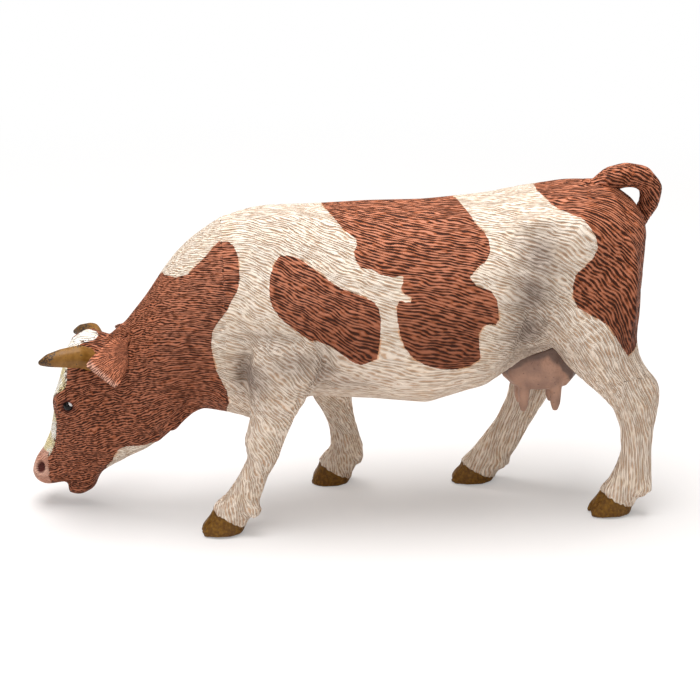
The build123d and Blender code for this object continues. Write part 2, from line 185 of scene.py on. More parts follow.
# Flow of the hair seen from the left: place along and up, and the slope down towards the rump in degrees
COMBING = [
    (-72, 10, -18), (-66, 26, -15), (-60, 18, -10), (-62, 38, 0), (-55, 30, 2), (-52, 22, -28),
    (-45, 26, -42), (-50, 42, 4), (-42, 50, 8), (-38, 60, 10), (-37, 38, 5), (-30, 34, 42),
    (-30, 66, 8), (-28, 75, -12), (-20, 79, 0), (-14, 74, 26), (-22, 69, 32), (-23, 58, 38),
    (-10, 62, 28), (-16, 52, 28), (0, 70, 24), (5, 58, 20), (8, 78, 3), (20, 70, 5), (15, 60, 10),
    (20, 50, 24), (28, 60, 20), (28, 76, 10), (30, 44, 30), (10, 45, 34), (-1, 40, 36), (0, 33, 18),
    (15, 31, 10), (31, 35, -18), (-9, 44, 72), (-18, 43, 42), (-20, 36, 55), (-27, 44, 36),
    (-26, 34, 52), (38, 70, 36), (44, 73, 36), (45, 60, 43), (42, 50, 48), (40, 42, 30), (35, 58, 38),
    (45, 81, 5), (56, 81, 8), (60, 74, 44), (64, 65, 54), (66, 55, 60), (57, 67, 36), (59, 58, 36),
    (55, 50, 40), (50, 44, 30), (60, 42, 42), (67, 45, 62), (72, 60, 82), (62, 36, 46), (68, 32, 62),
    (73, 29, 62), (70, 18, 68), (68, 8, 80), (46, 34, 100), (42, 22, 104), (36, 8, 98),
    (-23, 26, 62), (-27, 15, 68), (-31, 6, 84), (-7, 26, 62), (-3, 14, 74), (-2, 6, 84),
]

# Patches of the coat: place along the cow, and degrees round the barrel from the middle of the left side over
# the back to the right side
NECK_PATCH = [
    (-120, -250), (-29.4, -250), (-29.4, -76), (-28.9, -69), (-29.4, -61), (-30.8, -53), (-32, -46),
    (-32.6, -34), (-33, -23), (-32.5, -10), (-31, 1), (-29.1, 10), (-28.1, 19), (-26.6, 28),
    (-25.8, 38), (-25.9, 46), (-26, 55), (-26.9, 62), (-28, 66), (-30.5, 68), (-32, 65), (-33.7, 61),
    (-35.2, 58), (-36.9, 54), (-37.9, 51), (-40.9, 53), (-43.3, 66), (-44.5, 90), (-44, 120),
    (-42, 130), (-38, 126), (-34, 118), (-30.5, 112), (-27.6, 116), (-26.2, 128), (-26.6, 142),
    (-28.4, 158), (-30.6, 172), (-32.4, 188), (-31.6, 204), (-29.6, 222), (-28.4, 240), (-28.8, 256),
    (-30, 290), (-120, 290),
]
SHOULDER_PATCH = [
    (-16.5, 52), (-13.9, 51), (-12.1, 49), (-10.3, 45), (-8, 39), (-5.3, 32), (-2.6, 26), (0.1, 23),
    (3, 19), (5.1, 16), (6.2, 11), (6.6, 4), (6.4, -9), (6.1, -15), (5.7, -21), (4.1, -24),
    (2.1, -27), (-0.1, -25), (-1.8, -21), (-3.4, -18), (-6.4, -13), (-9.9, -11), (-12.2, -7),
    (-15, 0), (-16.8, 5), (-18.4, 13), (-19, 20), (-19.1, 29), (-18.8, 38), (-18, 45),
]
SADDLE_PATCH = [
    (-4.8, 83), (-3.8, 77), (-2.8, 71), (-0.7, 63), (1.7, 57), (1.8, 53), (1, 49), (1.1, 44),
    (2.6, 38), (4.9, 37), (6.9, 33), (9.5, 31), (12.3, 32), (12, 27), (11.5, 24), (12.4, 20), (14, 18),
    (13.7, 15), (12.3, 15), (11.2, 17), (10.4, 12), (10.4, 5), (11.1, -6), (12.2, -14), (14.2, -20),
    (17.1, -25), (20.8, -28), (24.4, -30), (28.1, -29), (30, -26), (30.6, -24), (30.2, -18),
    (29.8, -7), (31, -2), (32.4, -1), (33.9, -2), (34.6, 2), (34.5, 8), (34.1, 15), (32.9, 20),
    (31.3, 22), (29.4, 24), (27.8, 29), (29.8, 35), (32, 39), (33.1, 45), (32.9, 52), (31.9, 57),
    (30.1, 64), (28.7, 73), (27.6, 82), (26.6, 92), (27.4, 104), (30.2, 114), (31.6, 126),
    (30, 138), (26, 146), (20.5, 150), (14.8, 148), (11, 140), (8, 130), (3.2, 124), (-1.4, 116),
    (-4.4, 106), (-5.4, 94),
]
RUMP_PATCH = [
    (46.2, 85), (46.9, 79), (48.3, 70), (50.2, 64), (52.2, 60), (54.7, 56), (56.5, 52), (57.9, 48),
    (58.4, 43), (57.4, 38), (54.8, 32), (53.1, 29), (52.6, 22), (52.8, 14), (54, 6), (56.3, 2),
    (59.2, -3), (61.6, -8), (62.9, -14), (64, -19), (65.6, -27), (67.2, -34), (90, -34),
    (90, 250), (72, 236), (69.5, 216), (66.8, 206), (64.5, 196), (62, 186), (60.8, 172),
    (61.6, 158), (60.2, 146), (57, 138), (54, 128), (51.6, 116), (48.8, 106), (46.6, 95),
]
RIB_PATCH = [
    (-20, 136), (-15, 131), (-9, 133), (-4, 140), (-1, 150), (2.5, 158), (8, 163), (15, 165),
    (22, 168), (26, 176), (27, 188), (24, 200), (18, 207), (10, 208), (3, 204), (-3, 199),
    (-9, 200), (-14, 197), (-18, 188), (-20, 176), (-19, 164), (-21.5, 150),
]
COAT_PATCHES = (NECK_PATCH, SHOULDER_PATCH, SADDLE_PATCH, RUMP_PATCH, RIB_PATCH)
BARREL_MIDDLE = (0.0, 55.0)  # across and up, the line that the degrees are counted round
BARREL_RADIUS = 22.0
HEAD_PIVOT = (-41.55, -0.8)  # along and across, the upright line that the head is turned about
HEAD_TURN = radians(-17.0)
HEAD_TILT = radians(4.0)
PIVOT_REACH = 12.0  # of that line, counted from the withers along the turned head
EAR_ROOT = (20.0, 9.0, 45.0)  # on the turned head: along, across to either side, and up

# Pale marks on the head: a line of places with a radius each
POLL_MARK = [((-62.6, 4.6, 46.4), 2.6), ((-65.6, 4.4, 44.6), 2.7), ((-67.6, 3.8, 41.2), 2.5)]
BLAZE_MARK = [
    ((-67.9, 3.4, 40.5), 3.6), ((-69.4, 3.2, 36.0), 4.7), ((-71.0, 3.9, 30.0), 2.6),
    ((-71.6, 4.0, 25.5), 3.3), ((-73.4, 4.8, 20.0), 3.3), ((-75.2, 5.6, 16.4), 3.2),
]
THROAT_MARK = [
    ((-56.4, 3.2, 13.4), 3.8), ((-52.6, 3.0, 15.4), 6.2), ((-46.4, 2.6, 17.4), 5.8),
    ((-42.8, 2.2, 18.8), 5.0),
]

# Painted shade, grey sprayed into the hollows: place, radii along, across and up, and strength
SHADING = [
    ((-24, -15, 41), (5.0, 9, 6.0), 1.0), ((-12, -19, 46), (10, 9, 5.0), 0.68),
    ((-18, -17, 50), (7, 8, 3.6), 0.55), ((-7, -18, 42), (4.5, 8, 6.0), 0.8),
    ((-3, -18, 39), (9, 9, 3.6), 0.6),
    ((44.5, -19, 70), (5.2, 9, 6.0), 0.95), ((42.5, -19, 61), (5.2, 9, 7.0), 1.0),
    ((42.5, -18, 51), (5.8, 9, 7.0), 1.0), ((46, -14, 43.5), (9, 9, 4.0), 0.7),
    ((-24, 14, 41), (5.0, 9, 6.0), 0.9), ((-12, 18, 46), (10, 9, 5.0), 0.7),
    ((44, 19, 66), (3.6, 9, 9.0), 0.75), ((42, 18, 52), (5.0, 9, 10.0), 0.75),
]

# Modelled forms of both sides: place on the left side, radii along, across and up, and how far they stand out
# on the left and on the right
PAIRED_FORMS = [
    # elbow and shoulder muscles
    ((-9.5, -19, 46), (3.4, 8, 6.0), 1.0, 0.9), ((-18, -17, 45), (5.0, 8, 5.0), 0.7, 0.7),
    ((-5.2, -19, 45.5), (1.3, 8, 6.0), -0.8, -0.7), ((-14, -17, 51.5), (7.5, 7, 1.8), -0.35, 0),
    ((-25.4, -15, 45), (2.0, 8, 6.0), -0.9, -0.8), ((-20.5, -16, 58), (4.5, 7, 6.0), 0.4, 0),
    # hip bones and hollow flanks
    ((44.5, -15.2, 77.2), (5.5, 3.4, 2.2), 0.9, 0.9), ((40.5, -19, 67), (3.0, 7, 7.0), -0.7, -0.7),
    ((41.5, -18, 52), (3.0, 7, 8.0), -0.6, -0.6),
    # rump, and the narrow part above the hocks
    ((71.5, -6, 73), (3.0, 7, 6.0), 1.1, 1.1), ((67.5, -14.5, 44.5), (4.0, 8, 6.0), -1.2, -0.6),
    # seat bones and the groove below the tail
    ((68.2, -13.4, 68), (2.4, 3.4, 5.5), 0.7, 0.7), ((67.6, -16.2, 54), (1.6, 3.0, 9.0), 0.5, 0.5),
    # withers
    ((-18, -5, 78), (7, 4, 2.5), 0.5, 0.5),
]
# Modelled forms that stand alone: place, radii along, across and up, and how far they stand out
SINGLE_FORMS = [
    # croup round the root of the tail, point of the near hock, and the hollow before the udder
    ((62.0, -0.5, 82.5), (5.5, 4.5, 3.5), 1.3), ((76.0, -14.5, 35.6), (2.6, 3.5, 2.6), 0.9),
    ((43.5, -14.5, 41.5), (4.0, 4.0, 2.4), -1.4),
    # brows, chin and brisket
    ((-70.4, 0.9, 30.6), (2.4, 2.6, 3.4), 1.1), ((-64.9, 13.9, 30.6), (2.4, 2.6, 3.4), 1.0),
    ((-63.4, 5.0, 5.0), (2.4, 5.0, 2.4), 0.9), ((-30.6, -1, 25.0), (2.4, 5.0, 3.0), 0.7),
    # hair round the roots of the horns
    ((-60.5, -2.5, 43.5), (2.5, 2.5, 2.5), 1.1), ((-56.3, 11.2, 42.5), (2.5, 2.5, 2.5), 1.0),
    # toes
    ((-36.4, -15.5, 1.4), (2.2, 4.5, 2.4), 0.7), ((-9.6, 12.0, 1.4), (2.2, 4.5, 2.4), 0.6),
    ((60.2, -15.0, 1.4), (2.2, 4.5, 2.4), 0.5), ((28.0, 10.0, 1.4), (2.2, 4.5, 2.4), 1.1),
    # dewclaws
    ((-24.0, -17.0, 7.0), (1.9, 2.6, 1.7), 2.1), ((73.8, -16.2, 7.6), (1.9, 2.6, 1.7), 2.1),
    ((4.1, 9.9, 8.0), (1.8, 2.6, 1.7), 1.8), ((40.9, 6.2, 6.2), (1.9, 2.6, 1.7), 2.0),
    # hair that hangs over the hooves
    ((-31.8, -15.5, 7.6), (2.0, 4.5, 1.8), 0.6), ((63.2, -15.0, 7.4), (2.0, 4.5, 1.8), 0.6),
    ((-4.6, 11.0, 7.0), (2.0, 4.5, 1.8), 0.6), ((31.4, 9.0, 6.8), (2.0, 4.5, 1.8), 0.6),
]

# Folds: a line of places on the left side, how wide, and how deep, or how high where negative
FOLDS = [
    # behind the elbow, with the roll of skin before it
    (
        [
            (-8.6, -19.5, 51.0), (-6.6, -19.6, 47.5), (-6.4, -19, 44), (-7.6, -17.5, 40.5),
            (-10.4, -15.5, 36.5),
        ],
        0.8, 1.0,
    ),
    ([(-10.8, -19.5, 49.0), (-9.0, -19.6, 46.8), (-8.9, -19, 43.6), (-10, -17.5, 40.5)], 1.3, -0.6),
    # before the upper arm
    ([(-24.4, -15.8, 47.0), (-25.8, -14.4, 42.5), (-25.7, -13.2, 38.0), (-25.4, -12.6, 33.0)], 1.1, 1.5),
    ([(-22.4, -16.4, 45.5), (-23.2, -15.4, 41.5), (-23.2, -14.6, 37.0), (-23.0, -14.2, 32.0)], 1.5, -0.6),
    # above the upper arm
    ([(-25.5, -16, 50.5), (-18, -18, 51.5), (-12.5, -18.8, 50.5)], 1.5, 0.6),
    # before the thigh
    ([(43.6, -19, 56.0), (42.2, -18.5, 51.7), (40.6, -16.4, 46.5), (39.8, -13.6, 42.5)], 1.3, 0.8),
    ([(46.6, -19, 57.0), (45.4, -18.6, 51.7), (44.6, -16.8, 46.5)], 1.8, -0.4),
    # edge of the hip and the hollow below it
    ([(40, -14, 76.5), (47, -14.6, 77.6), (54, -16, 77.0)], 2.2, -0.8),
    ([(43.5, -18.5, 71), (51, -19, 70.5)], 2.6, 0.5),
    # seat bone
    ([(66.6, -13.5, 71.8), (67.8, -13.8, 66.8), (68.1, -16.1, 60), (67.6, -17.5, 52.9)], 1.2, -0.5),
    # behind the thigh
    ([(62.6, -17.6, 56.0), (62.2, -17.2, 48.0), (64.6, -16.2, 40.0)], 1.2, 0.4),
]

# Folds of the neck and face seen from the side: places along and up, how wide, and how deep or how high
NECK_FOLDS = [
    # loose skin of the throat
    ([(-50.0, 22.5), (-45.5, 27.5), (-39.5, 34.0)], 0.8, -0.5),
    ([(-48.4, 21.5), (-43.8, 26.0), (-38.0, 32.0)], 0.6, 0.4),
    ([(-46.8, 20.5), (-42.0, 24.6), (-36.5, 30.0)], 0.8, -0.5),
    ([(-44.6, 20.0), (-40.2, 23.2), (-35.0, 28.0)], 0.6, 0.4),
    # below the eye, the cheek bone, the cheek and the mouth
    ([(-69.1, 27.5), (-69.2, 24.5), (-69.6, 21.5)], 0.5, 0.4),
    ([(-66.0, 24.5), (-66.4, 20.0), (-67.4, 17.0)], 1.0, 0.3),
    ([(-64.0, 22.0), (-60.0, 16.0), (-60.5, 11.0)], 1.6, -0.3),
    ([(-71.6, 9.0), (-69.8, 8.2), (-67.8, 9.6)], 0.6, 0.35),
]

# Eyes: middle of the ball, and the way it looks
EYES = {
    "left_eye": ((-67.9, -1.75, 30.1), (-0.32, -0.94, 0.06)),
    "right_eye": ((-65.2, 13.0, 29.0), (0.26, 0.96, 0.0)),
}
EYE_RADIUS = 1.3
EYE_FRONT = 0.7  # how far in front of the eye's middle its painted light is placed,
EYE_LIGHT = (1.0, 0, 0.75)  # and how far from there it is set over
EYE_LIGHT_RADIUS = 0.72
LID_RADIUS = 2.0
LID_WIDTH = 0.6
LID_RISE = 0.9
LID_REACH = 3.0  # before and behind the eye's middle, where the lids end
LINER_RADIUS = 1.35  # dark ring painted round the eye
LINER_WIDTH = 0.4
LINER_REACH = 2.5
LINER_STRENGTH = 0.75

# Nostrils and muzzle on the turned head: along, across to either side, and up
NOSTRIL = (46.6, 6.0, 10.9)
NOSTRIL_RADII = (1.5, 2.6, 1.75)
NOSTRIL_DEPTH = 0.7
MUZZLE_START = 44.2
MUZZLE_TOP = 15.2

# Coronets: for each hoof, a place on the line where hair meets horn, in front and behind, along and up
CORONETS = {
    "front_left_leg": ((-34.4, 7.0), (-26.8, 2.6)),
    "rear_left_leg": ((62.4, 6.6), (70.8, 2.4)),
    "front_right_leg": ((-5.4, 6.0), (2.6, 1.6)),
    "rear_right_leg": ((31.0, 5.8), (39.0, 1.8)),
}
HOOF_RECESS = 0.22  # how far the bare horn lies below the hair
SOLE_HEIGHT = 2.0  # what lies below is stretched down to a flat sole
CLEFT_OFFSET = 1.4  # from the hoof's middle towards the outside
CLEFT_WIDTH = 0.5
CLEFT_DEPTH = 0.9

# Edge of the udder below the skin of the belly and thigh: along, and up
UDDER_ARCH = (
    (36.0, 33.4), (37.8, 35.2), (45.2, 41.6), (50.0, 42.4), (53.7, 39.0), (56.6, 34.4), (58.0, 32.2),
)

LOW_SHADE_HEIGHTS = (38.0, 74.0)  # up: the painted shade low on the body is full below the first and gone above the second
# how much of that painted shade the head takes
HEAD_LOW_SHARE = 0.45
POLL_WHITE_FROM, POLL_WHITE_TO = 40.5, 43.0  # up: where the blaze turns from yellowish to white

# Moulded locks of hair: depth as a share of the lock depth, distance between two, and seed of their noise
LOCKS = {
    "torso": (0.7, 2.0, 11),
    "head": (0.5, 1.2, 23),
    "legs": (0.9, 1.2, 37),
    "ears": (0.375, 0.9, 51),
    "tail": (1.0, 0.8, 61),
}
LOCK_BEND = (6.0, 2.2, 2.2)  # length of their bends along the hair, across it and across the cow
LOCK_BREAK = (4.0, 1.4, 1.4)  # the same of their breaks
CROWDED_FROM, CROWDED_TO = 1.25, 1.8  # grooves in the room of one, where their paint starts and ends fading


# Shaping helpers


def noise(points, seed):
    """Smooth noise from -1 to 1 at an array of points."""
    cell = np.floor(points).astype(np.int64)
    part = points - cell
    part = part * part * (3 - 2 * part)
    total = np.zeros(len(points))
    for corner in range(8):
        step = np.array([corner & 1, corner >> 1 & 1, corner >> 2 & 1])
        place = cell + step
        mixed = place[:, 0] * 73856093 ^ place[:, 1] * 19349663 ^ place[:, 2] * 83492791 ^ seed * 40503
        mixed = (mixed ^ mixed >> 13) * 1274126177 & 0xFFFFFFFF
        value = ((mixed ^ mixed >> 15) & 0xFFFF) / 32767.5 - 1
        total += value * np.prod(np.where(step, part, 1 - part), axis=1)
    return total


def places(mesh):
    """The mesh's vertices as an array, in millimetres."""
    found = np.empty(len(mesh.vertices) * 3)
    mesh.vertices.foreach_get("co", found)
    return found.reshape(-1, 3) / MM


def outward(mesh):
    """The way that each vertex faces, as unit vectors."""
    found = np.empty(len(mesh.vertices) * 3)
    mesh.vertex_normals.foreach_get("vector", found)
    return found.reshape(-1, 3)


def put(mesh, where):
    """Moves the vertices to these places, in millimetres."""
    mesh.vertices.foreach_set("co", (where * MM).ravel())
    mesh.update()


def edges_of(mesh):
    """The two vertices of each edge."""
    found = np.empty(len(mesh.edges) * 2, np.int64)
    mesh.edges.foreach_get("vertices", found)
    return found.reshape(-1, 2)


def relax(where, edges, rounds, share):
    """Moves each vertex towards the middle of its neighbours. share is how far, for each vertex."""
    count = len(where)
    meets = np.maximum(np.bincount(edges.ravel(), minlength=count), 1)[:, None]
    for _ in range(rounds):
        middle = np.stack(
            [
                np.bincount(edges[:, 0], where[edges[:, 1], k], count)
                + np.bincount(edges[:, 1], where[edges[:, 0], k], count)
                for k in range(where.shape[1])
            ],
            axis=1,
        ) / meets
        where = where + share[:, None] * (middle - where)
    return where


def relaxed(mesh, rounds, share):
    """Relaxes a closed mesh and pushes it out again by as much as it shrank."""
    start = places(mesh)
    edges = edges_of(mesh)
    where = relax(start, edges, rounds, share)
    put(mesh, where)
    facing = outward(mesh)
    lost = ((start - where) * facing).sum(1)
    lost = relax(lost[:, None], edges, 2 * rounds, share)[:, 0]
    put(mesh, where + facing * lost[:, None])
    return places(mesh)


def fade(value, low, high):
    """0 below low, 1 above high, and smooth between them."""
    part = np.clip((value - low) / (high - low), 0, 1)
    return part * part * (3 - 2 * part)


def capsule_reach(where, marks):
    """How deep each place lies inside a line of balls, negative outside."""
    best = np.full(len(where), -1e3)
    for (start, start_radius), (end, end_radius) in zip(marks, marks[1:]):
        start, end = np.array(start), np.array(end)
        line = end - start
        part = np.clip((where - start) @ line / (line @ line), 0, 1)
        away = np.linalg.norm(where - start - part[:, None] * line, axis=1)
        best = np.maximum(best, start_radius + part * (end_radius - start_radius) - away)
    return best


def outline_reach(flat, outline):
    """How deep each flat place lies inside a closed outline, negative outside."""
    inside = np.zeros(len(flat), bool)
    nearest = np.full(len(flat), 1e3)
    for start, end in zip(outline, outline[1:] + outline[:1]):
        start, end = np.array(start), np.array(end)
        line = end - start
        part = np.clip((flat - start) @ line / (line @ line), 0, 1)
        nearest = np.minimum(nearest, np.linalg.norm(flat - start - part[:, None] * line, axis=1))
        crosses = (start[1] > flat[:, 1]) != (end[1] > flat[:, 1])
        rise = line[1] if line[1] else 1e-9
        inside ^= crosses & (flat[:, 0] < line[0] * (flat[:, 1] - start[1]) / rise + start[0])
    return np.where(inside, nearest, -nearest)


def coat_flow(where):
    """Which way the hair of the coat runs, and which way is across it, seen from the side."""
    spots = np.array(COMBING, float)
    slope = np.zeros(len(where))
    total = np.zeros(len(where))
    for x, z, degrees in spots:
        weight = 1 / (((where[:, 0] - x) ** 2 + (where[:, 2] - z) ** 2) ** 1.5 + 30.0)
        slope += weight * radians(degrees)
        total += weight
    slope /= total
    level = np.zeros(len(where))
    run = np.stack([np.cos(slope), level, -np.sin(slope)], axis=1)
    side = np.stack([np.sin(slope), level, np.cos(slope)], axis=1)
    return run, side


def unit(vectors):
    """The vectors at a length of one."""
    return vectors / np.maximum(np.linalg.norm(vectors, axis=1), 1e-9)[:, None]


def spread(edges, wanted, start, rounds):
    """Numbers on a mesh's vertices whose steps along the edges come as near as they can to those wanted."""
    count = len(start)
    meets = np.bincount(edges.ravel(), minlength=count)

    def pull(value):
        """What the steps along the edges add up to at each vertex."""
        return meets * value - np.bincount(edges[:, 0], value[edges[:, 1]], count) - np.bincount(
            edges[:, 1], value[edges[:, 0]], count
        )

    goal = np.bincount(edges[:, 1], wanted, count) - np.bincount(edges[:, 0], wanted, count)
    found = start - start.mean()
    left = goal - pull(found)
    way = left.copy()
    size = left @ left
    for _ in range(rounds):
        pulled = pull(way)
        step = size / max(way @ pulled, 1e-12)
        found += step * way
        left -= step * pulled
        new_size = left @ left
        way = left + new_size / max(size, 1e-12) * way
        size = new_size
    return found


def combed(mesh, run, side, rounds=260):
    """Places counted along the hair, across it and across the cow, even over the whole surface."""
    where, edges = places(mesh), edges_of(mesh)
    facing = unit(relax(outward(mesh), edges, 6, np.full(len(where), 0.5)))
    along = unit(run - facing * (run * facing).sum(1)[:, None])
    across = np.cross(facing, along)
    across *= np.where((across * side).sum(1) < 0, -1, 1)[:, None]
    step = where[edges[:, 1]] - where[edges[:, 0]]
    found = []
    for field, guess in ((along, run), (across, side)):
        wanted = ((field[edges[:, 0]] + field[edges[:, 1]]) * step).sum(1) / 2
        found.append(spread(edges, wanted, (where * guess).sum(1), rounds))
    return np.stack([found[0], found[1], where[:, 1]], axis=1)


def crowded(mesh, comb):
    """Where the grooves lie too close: 0 at an even spacing, 1 where it is much tighter."""
    where, edges = places(mesh), edges_of(mesh)
    length = np.linalg.norm(where[edges[:, 1]] - where[edges[:, 0]], axis=1)
    rate = np.abs(comb[edges[:, 1], 1] - comb[edges[:, 0], 1]) / np.maximum(length, 0.001)
    worst = np.zeros(len(where))
    np.maximum.at(worst, edges[:, 0], rate)
    np.maximum.at(worst, edges[:, 1], rate)
    even = relax(worst[:, None], edges, 8, np.full(len(where), 0.5))[:, 0]
    return fade(even, CROWDED_FROM, CROWDED_TO)


def locks(comb, pitch, seed):
    """Height of moulded locks of hair, 0 in their narrow grooves and 1 on their backs."""
    bend = noise(comb / np.array(LOCK_BEND), seed)
    wave = 0.5 + 0.5 * np.sin(2 * pi * (comb[:, 1] / pitch + 0.9 * bend))
    broken = noise(comb / np.array(LOCK_BREAK), seed + 5)
    return fade(wave + 0.8 * broken, 0.0, 0.9)


# Mesh helpers


def welded(*names):
    """One bmesh with copies of CAD mouldings, their loose triangles merged."""
    shell = bmesh.new()
    for name in names:
        shell.from_mesh(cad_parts[name].data)
    bmesh.ops.remove_doubles(shell, verts=shell.verts, dist=1e-7)
    return shell


def new_object(name, data):
    """An object that holds a mesh, lamp or camera, at the origin of the scene."""
    made = bpy.data.objects.new(name, data)
    bpy.context.scene.collection.objects.link(made)
    return made


def remeshed(shell, voxel):
    """The shell's outside as even quads of this size, in one closed piece."""
    mesh = bpy.data.meshes.new("moulding")
    shell.to_mesh(mesh)
    shell.free()
    holder = new_object("moulding", mesh)
    remesh = holder.modifiers.new("Even quads", "REMESH")
    remesh.mode = "VOXEL"
    remesh.voxel_size = voxel * MM
    graph = bpy.context.evaluated_depsgraph_get()
    even = bpy.data.meshes.new_from_object(holder.evaluated_get(graph))
    bpy.data.objects.remove(holder)
    bpy.data.meshes.remove(mesh)
    work = bmesh.new()
    work.from_mesh(even)
    keep_largest(work)
    work.to_mesh(even)
    work.free()
    even.attributes.active = None
    return even


def keep_largest(work):
    """Deletes every loose part but the largest, such as the linings of sealed sockets."""
    left = set(work.verts)
    parts = []
    while left:
        wave = [left.pop()]
        part = list(wave)
        while wave:
            vert = wave.pop()
            for edge in vert.link_edges:
                other = edge.other_vert(vert)
                if other in left:
                    left.remove(other)
                    part.append(other)
                    wave.append(other)
        parts.append(part)
    parts.sort(key=len)
    for part in parts[:-1]:
        bmesh.ops.delete(work, geom=part, context="VERTS")


def mark(mesh, name, values):
    """Stores one number, or three, for each vertex."""
    kind = "FLOAT_VECTOR" if values.ndim == 2 else "FLOAT"
    layer = mesh.attributes.get(name) or mesh.attributes.new(name, kind, "POINT")
    layer.data.foreach_set("vector" if values.ndim == 2 else "value", values.astype(np.float32).ravel())


def mask(reach):
    """A painted area's reach as 0 to 1: a half on its border, and even for 1.5 mm on either side of it."""
    return np.clip(0.5 + reach / 3.0, 0, 1)


def finished(name, mesh, material, replaced=None):
    """Gives a piece its material, body and slot, and hides the CAD node that it stands for."""
    mesh.polygons.foreach_set("use_smooth", np.ones(len(mesh.polygons), bool))
    mesh.update()
    made = new_object(name, mesh)
    mesh.materials.clear()
    mesh.materials.append(material)
    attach(made, BODY)
    if replaced:
        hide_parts(replaced)
    return made


# The skin

# Where the mouldings part: the neck joint along the cow, and the rest above the floor
NECK_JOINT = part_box("torso")[0].x / MM
HEAD_END = -46.0  # in front of this all is the head's, at any height
LEG_TOP = 24.0  # below this height what isn't the head's is a leg's
HIND_JOINT = 37.5
JOINT_ROOM = 0.4  # above the hind joint all is the torso's
LEG_MIDDLE = 20.0  # along the cow, between the front and rear legs

# How the skin is smoothed: rounds for quads of a given size, how far each goes, and where it is held firm
SMOOTH_ROUNDS = 90
SMOOTH_QUAD = 0.42
SMOOTH_SHARE = 0.5
FIRM_SHARE = 0.07
FACE_FIRM = (-56.0, -46.0)  # along the cow: firm before the first, loose behind the second
LEGS_FIRM = (26.0, 42.0)  # up: firm below the first, loose above the second
SKINS = {}


def modelled(where, facing):
    """Adds the muscles, bones and hollows of the table."""
    move = np.zeros(len(where))
    mirrored = where * [1, -1, 1]
    for centre, radii, left, right in PAIRED_FORMS:
        for side, rise in ((where, left), (mirrored, right)):
            move += rise * np.exp(-(((side - centre) / radii) ** 2).sum(1))
    for centre, radii, rise in SINGLE_FORMS:
        move += rise * np.exp(-(((where - centre) / radii) ** 2).sum(1))
    for line, width, depth in FOLDS:
        line = [(place, 0.0) for place in line]
        for side in (where, mirrored):
            move -= depth * np.exp(-((capsule_reach(side, line) / width) ** 2))
    seen = where * [1, 0, 1]
    for line, width, depth in NECK_FOLDS:
        line = [((x, 0, z), 0.0) for x, z in line]
        move -= depth * np.exp(-((capsule_reach(seen, line) / width) ** 2))
    for middle, axis in EYES.values():
        away = where - middle
        along = away @ np.array(axis)
        ring = np.linalg.norm(away - along[:, None] * axis, axis=1)
        lid = LID_RISE * np.exp(-(((ring - LID_RADIUS) / LID_WIDTH) ** 2))
        move += np.where(np.abs(along) < LID_REACH, lid, 0)
    return where + facing * move[:, None]


def skin(voxel):
    """The whole coated body as one smooth mesh, and the moulding that each face belongs to."""
    if voxel in SKINS:
        return SKINS[voxel]
    mesh = remeshed(welded(*COATED), voxel)
    where = places(mesh)
    edges = edges_of(mesh)
    face = 1 - fade(where[:, 0], *FACE_FIRM)
    low = 1 - fade(where[:, 2], *LEGS_FIRM)
    firm = np.maximum(face, low)
    share = SMOOTH_SHARE * (1 - firm) + FIRM_SHARE * firm
    where = relaxed(mesh, int(SMOOTH_ROUNDS * (SMOOTH_QUAD / voxel) ** 2), share)
    where = modelled(where, outward(mesh))
    where = relax(where, edges, 2, np.full(len(where), 0.3))
    put(mesh, where)
    comb = combed(mesh, *coat_flow(where))
    mark(mesh, "comb", comb)
    mark(mesh, "crowded", crowded(mesh, comb))
    SKINS[voxel] = mesh, owners(mesh)
    return SKINS[voxel]


def owners(mesh):
    """For each face of the skin, which moulding it belongs to."""
    trees = {}
    for name in COATED:
        shell = welded(name)
        trees[name] = BVHTree.FromBMesh(shell)
        shell.free()
    found = []
    for polygon in mesh.polygons:
        middle = polygon.center
        x, y, z = middle / MM
        if x < NECK_JOINT and (z > LEG_TOP or x < HEAD_END):
            found.append("head")
        elif z > HIND_JOINT + JOINT_ROOM:
            found.append("torso")
        else:
            side = "left" if y < 0 else "right"
            leg = ("front" if x < LEG_MIDDLE else "rear") + f"_{side}_leg"
            if z < LEG_TOP:
                found.append(leg)
            else:
                away_leg = trees[leg].find_nearest(middle)[3]
                away_torso = trees["torso"].find_nearest(middle)[3]
                found.append(leg if away_leg < away_torso else "torso")
    return np.array(found)


def parted(voxel, name, halved=False):
    """One moulding's part of the skin, its quads halved if asked, and how near each vertex is to its rim."""
    mesh, owner = skin(voxel)
    work = bmesh.new()
    work.from_mesh(mesh)
    work.faces.ensure_lookup_table()
    others = [work.faces[i] for i in np.nonzero(owner != name)[0]]
    bmesh.ops.delete(work, geom=others, context="FACES")
    keep_largest(work)
    if halved:
        bmesh.ops.subdivide_edges(work, edges=work.edges, cuts=1, use_grid_fill=True)
    part = bpy.data.meshes.new(name + "_coat")
    work.to_mesh(part)
    fixed = np.array([vert.is_boundary for vert in work.verts])
    work.free()
    if halved:
        put(part, relax(places(part), edges_of(part), 3, np.where(fixed, 0.0, 0.4)))
    return part, near_rim(part, fixed)


def close(mesh):
    """Fills the openings left by the parting, with a sharp edge round each."""
    work = bmesh.new()
    work.from_mesh(mesh)
    rim = [edge for edge in work.edges if edge.is_boundary]
    caps = bmesh.ops.holes_fill(work, edges=rim, sides=0)["faces"]
    bmesh.ops.triangulate(work, faces=caps)
    for edge in rim:
        edge.smooth = False
    work.to_mesh(mesh)
    work.free()


def near_rim(mesh, fixed):
    """How near each vertex is to the rim where the skin was parted, 1 on it and 0 a millimetre away."""
    share = fixed[:, None].astype(float)
    return np.clip(3 * relax(share, edges_of(mesh), 5, 1 - fixed)[:, 0], 0, 1)


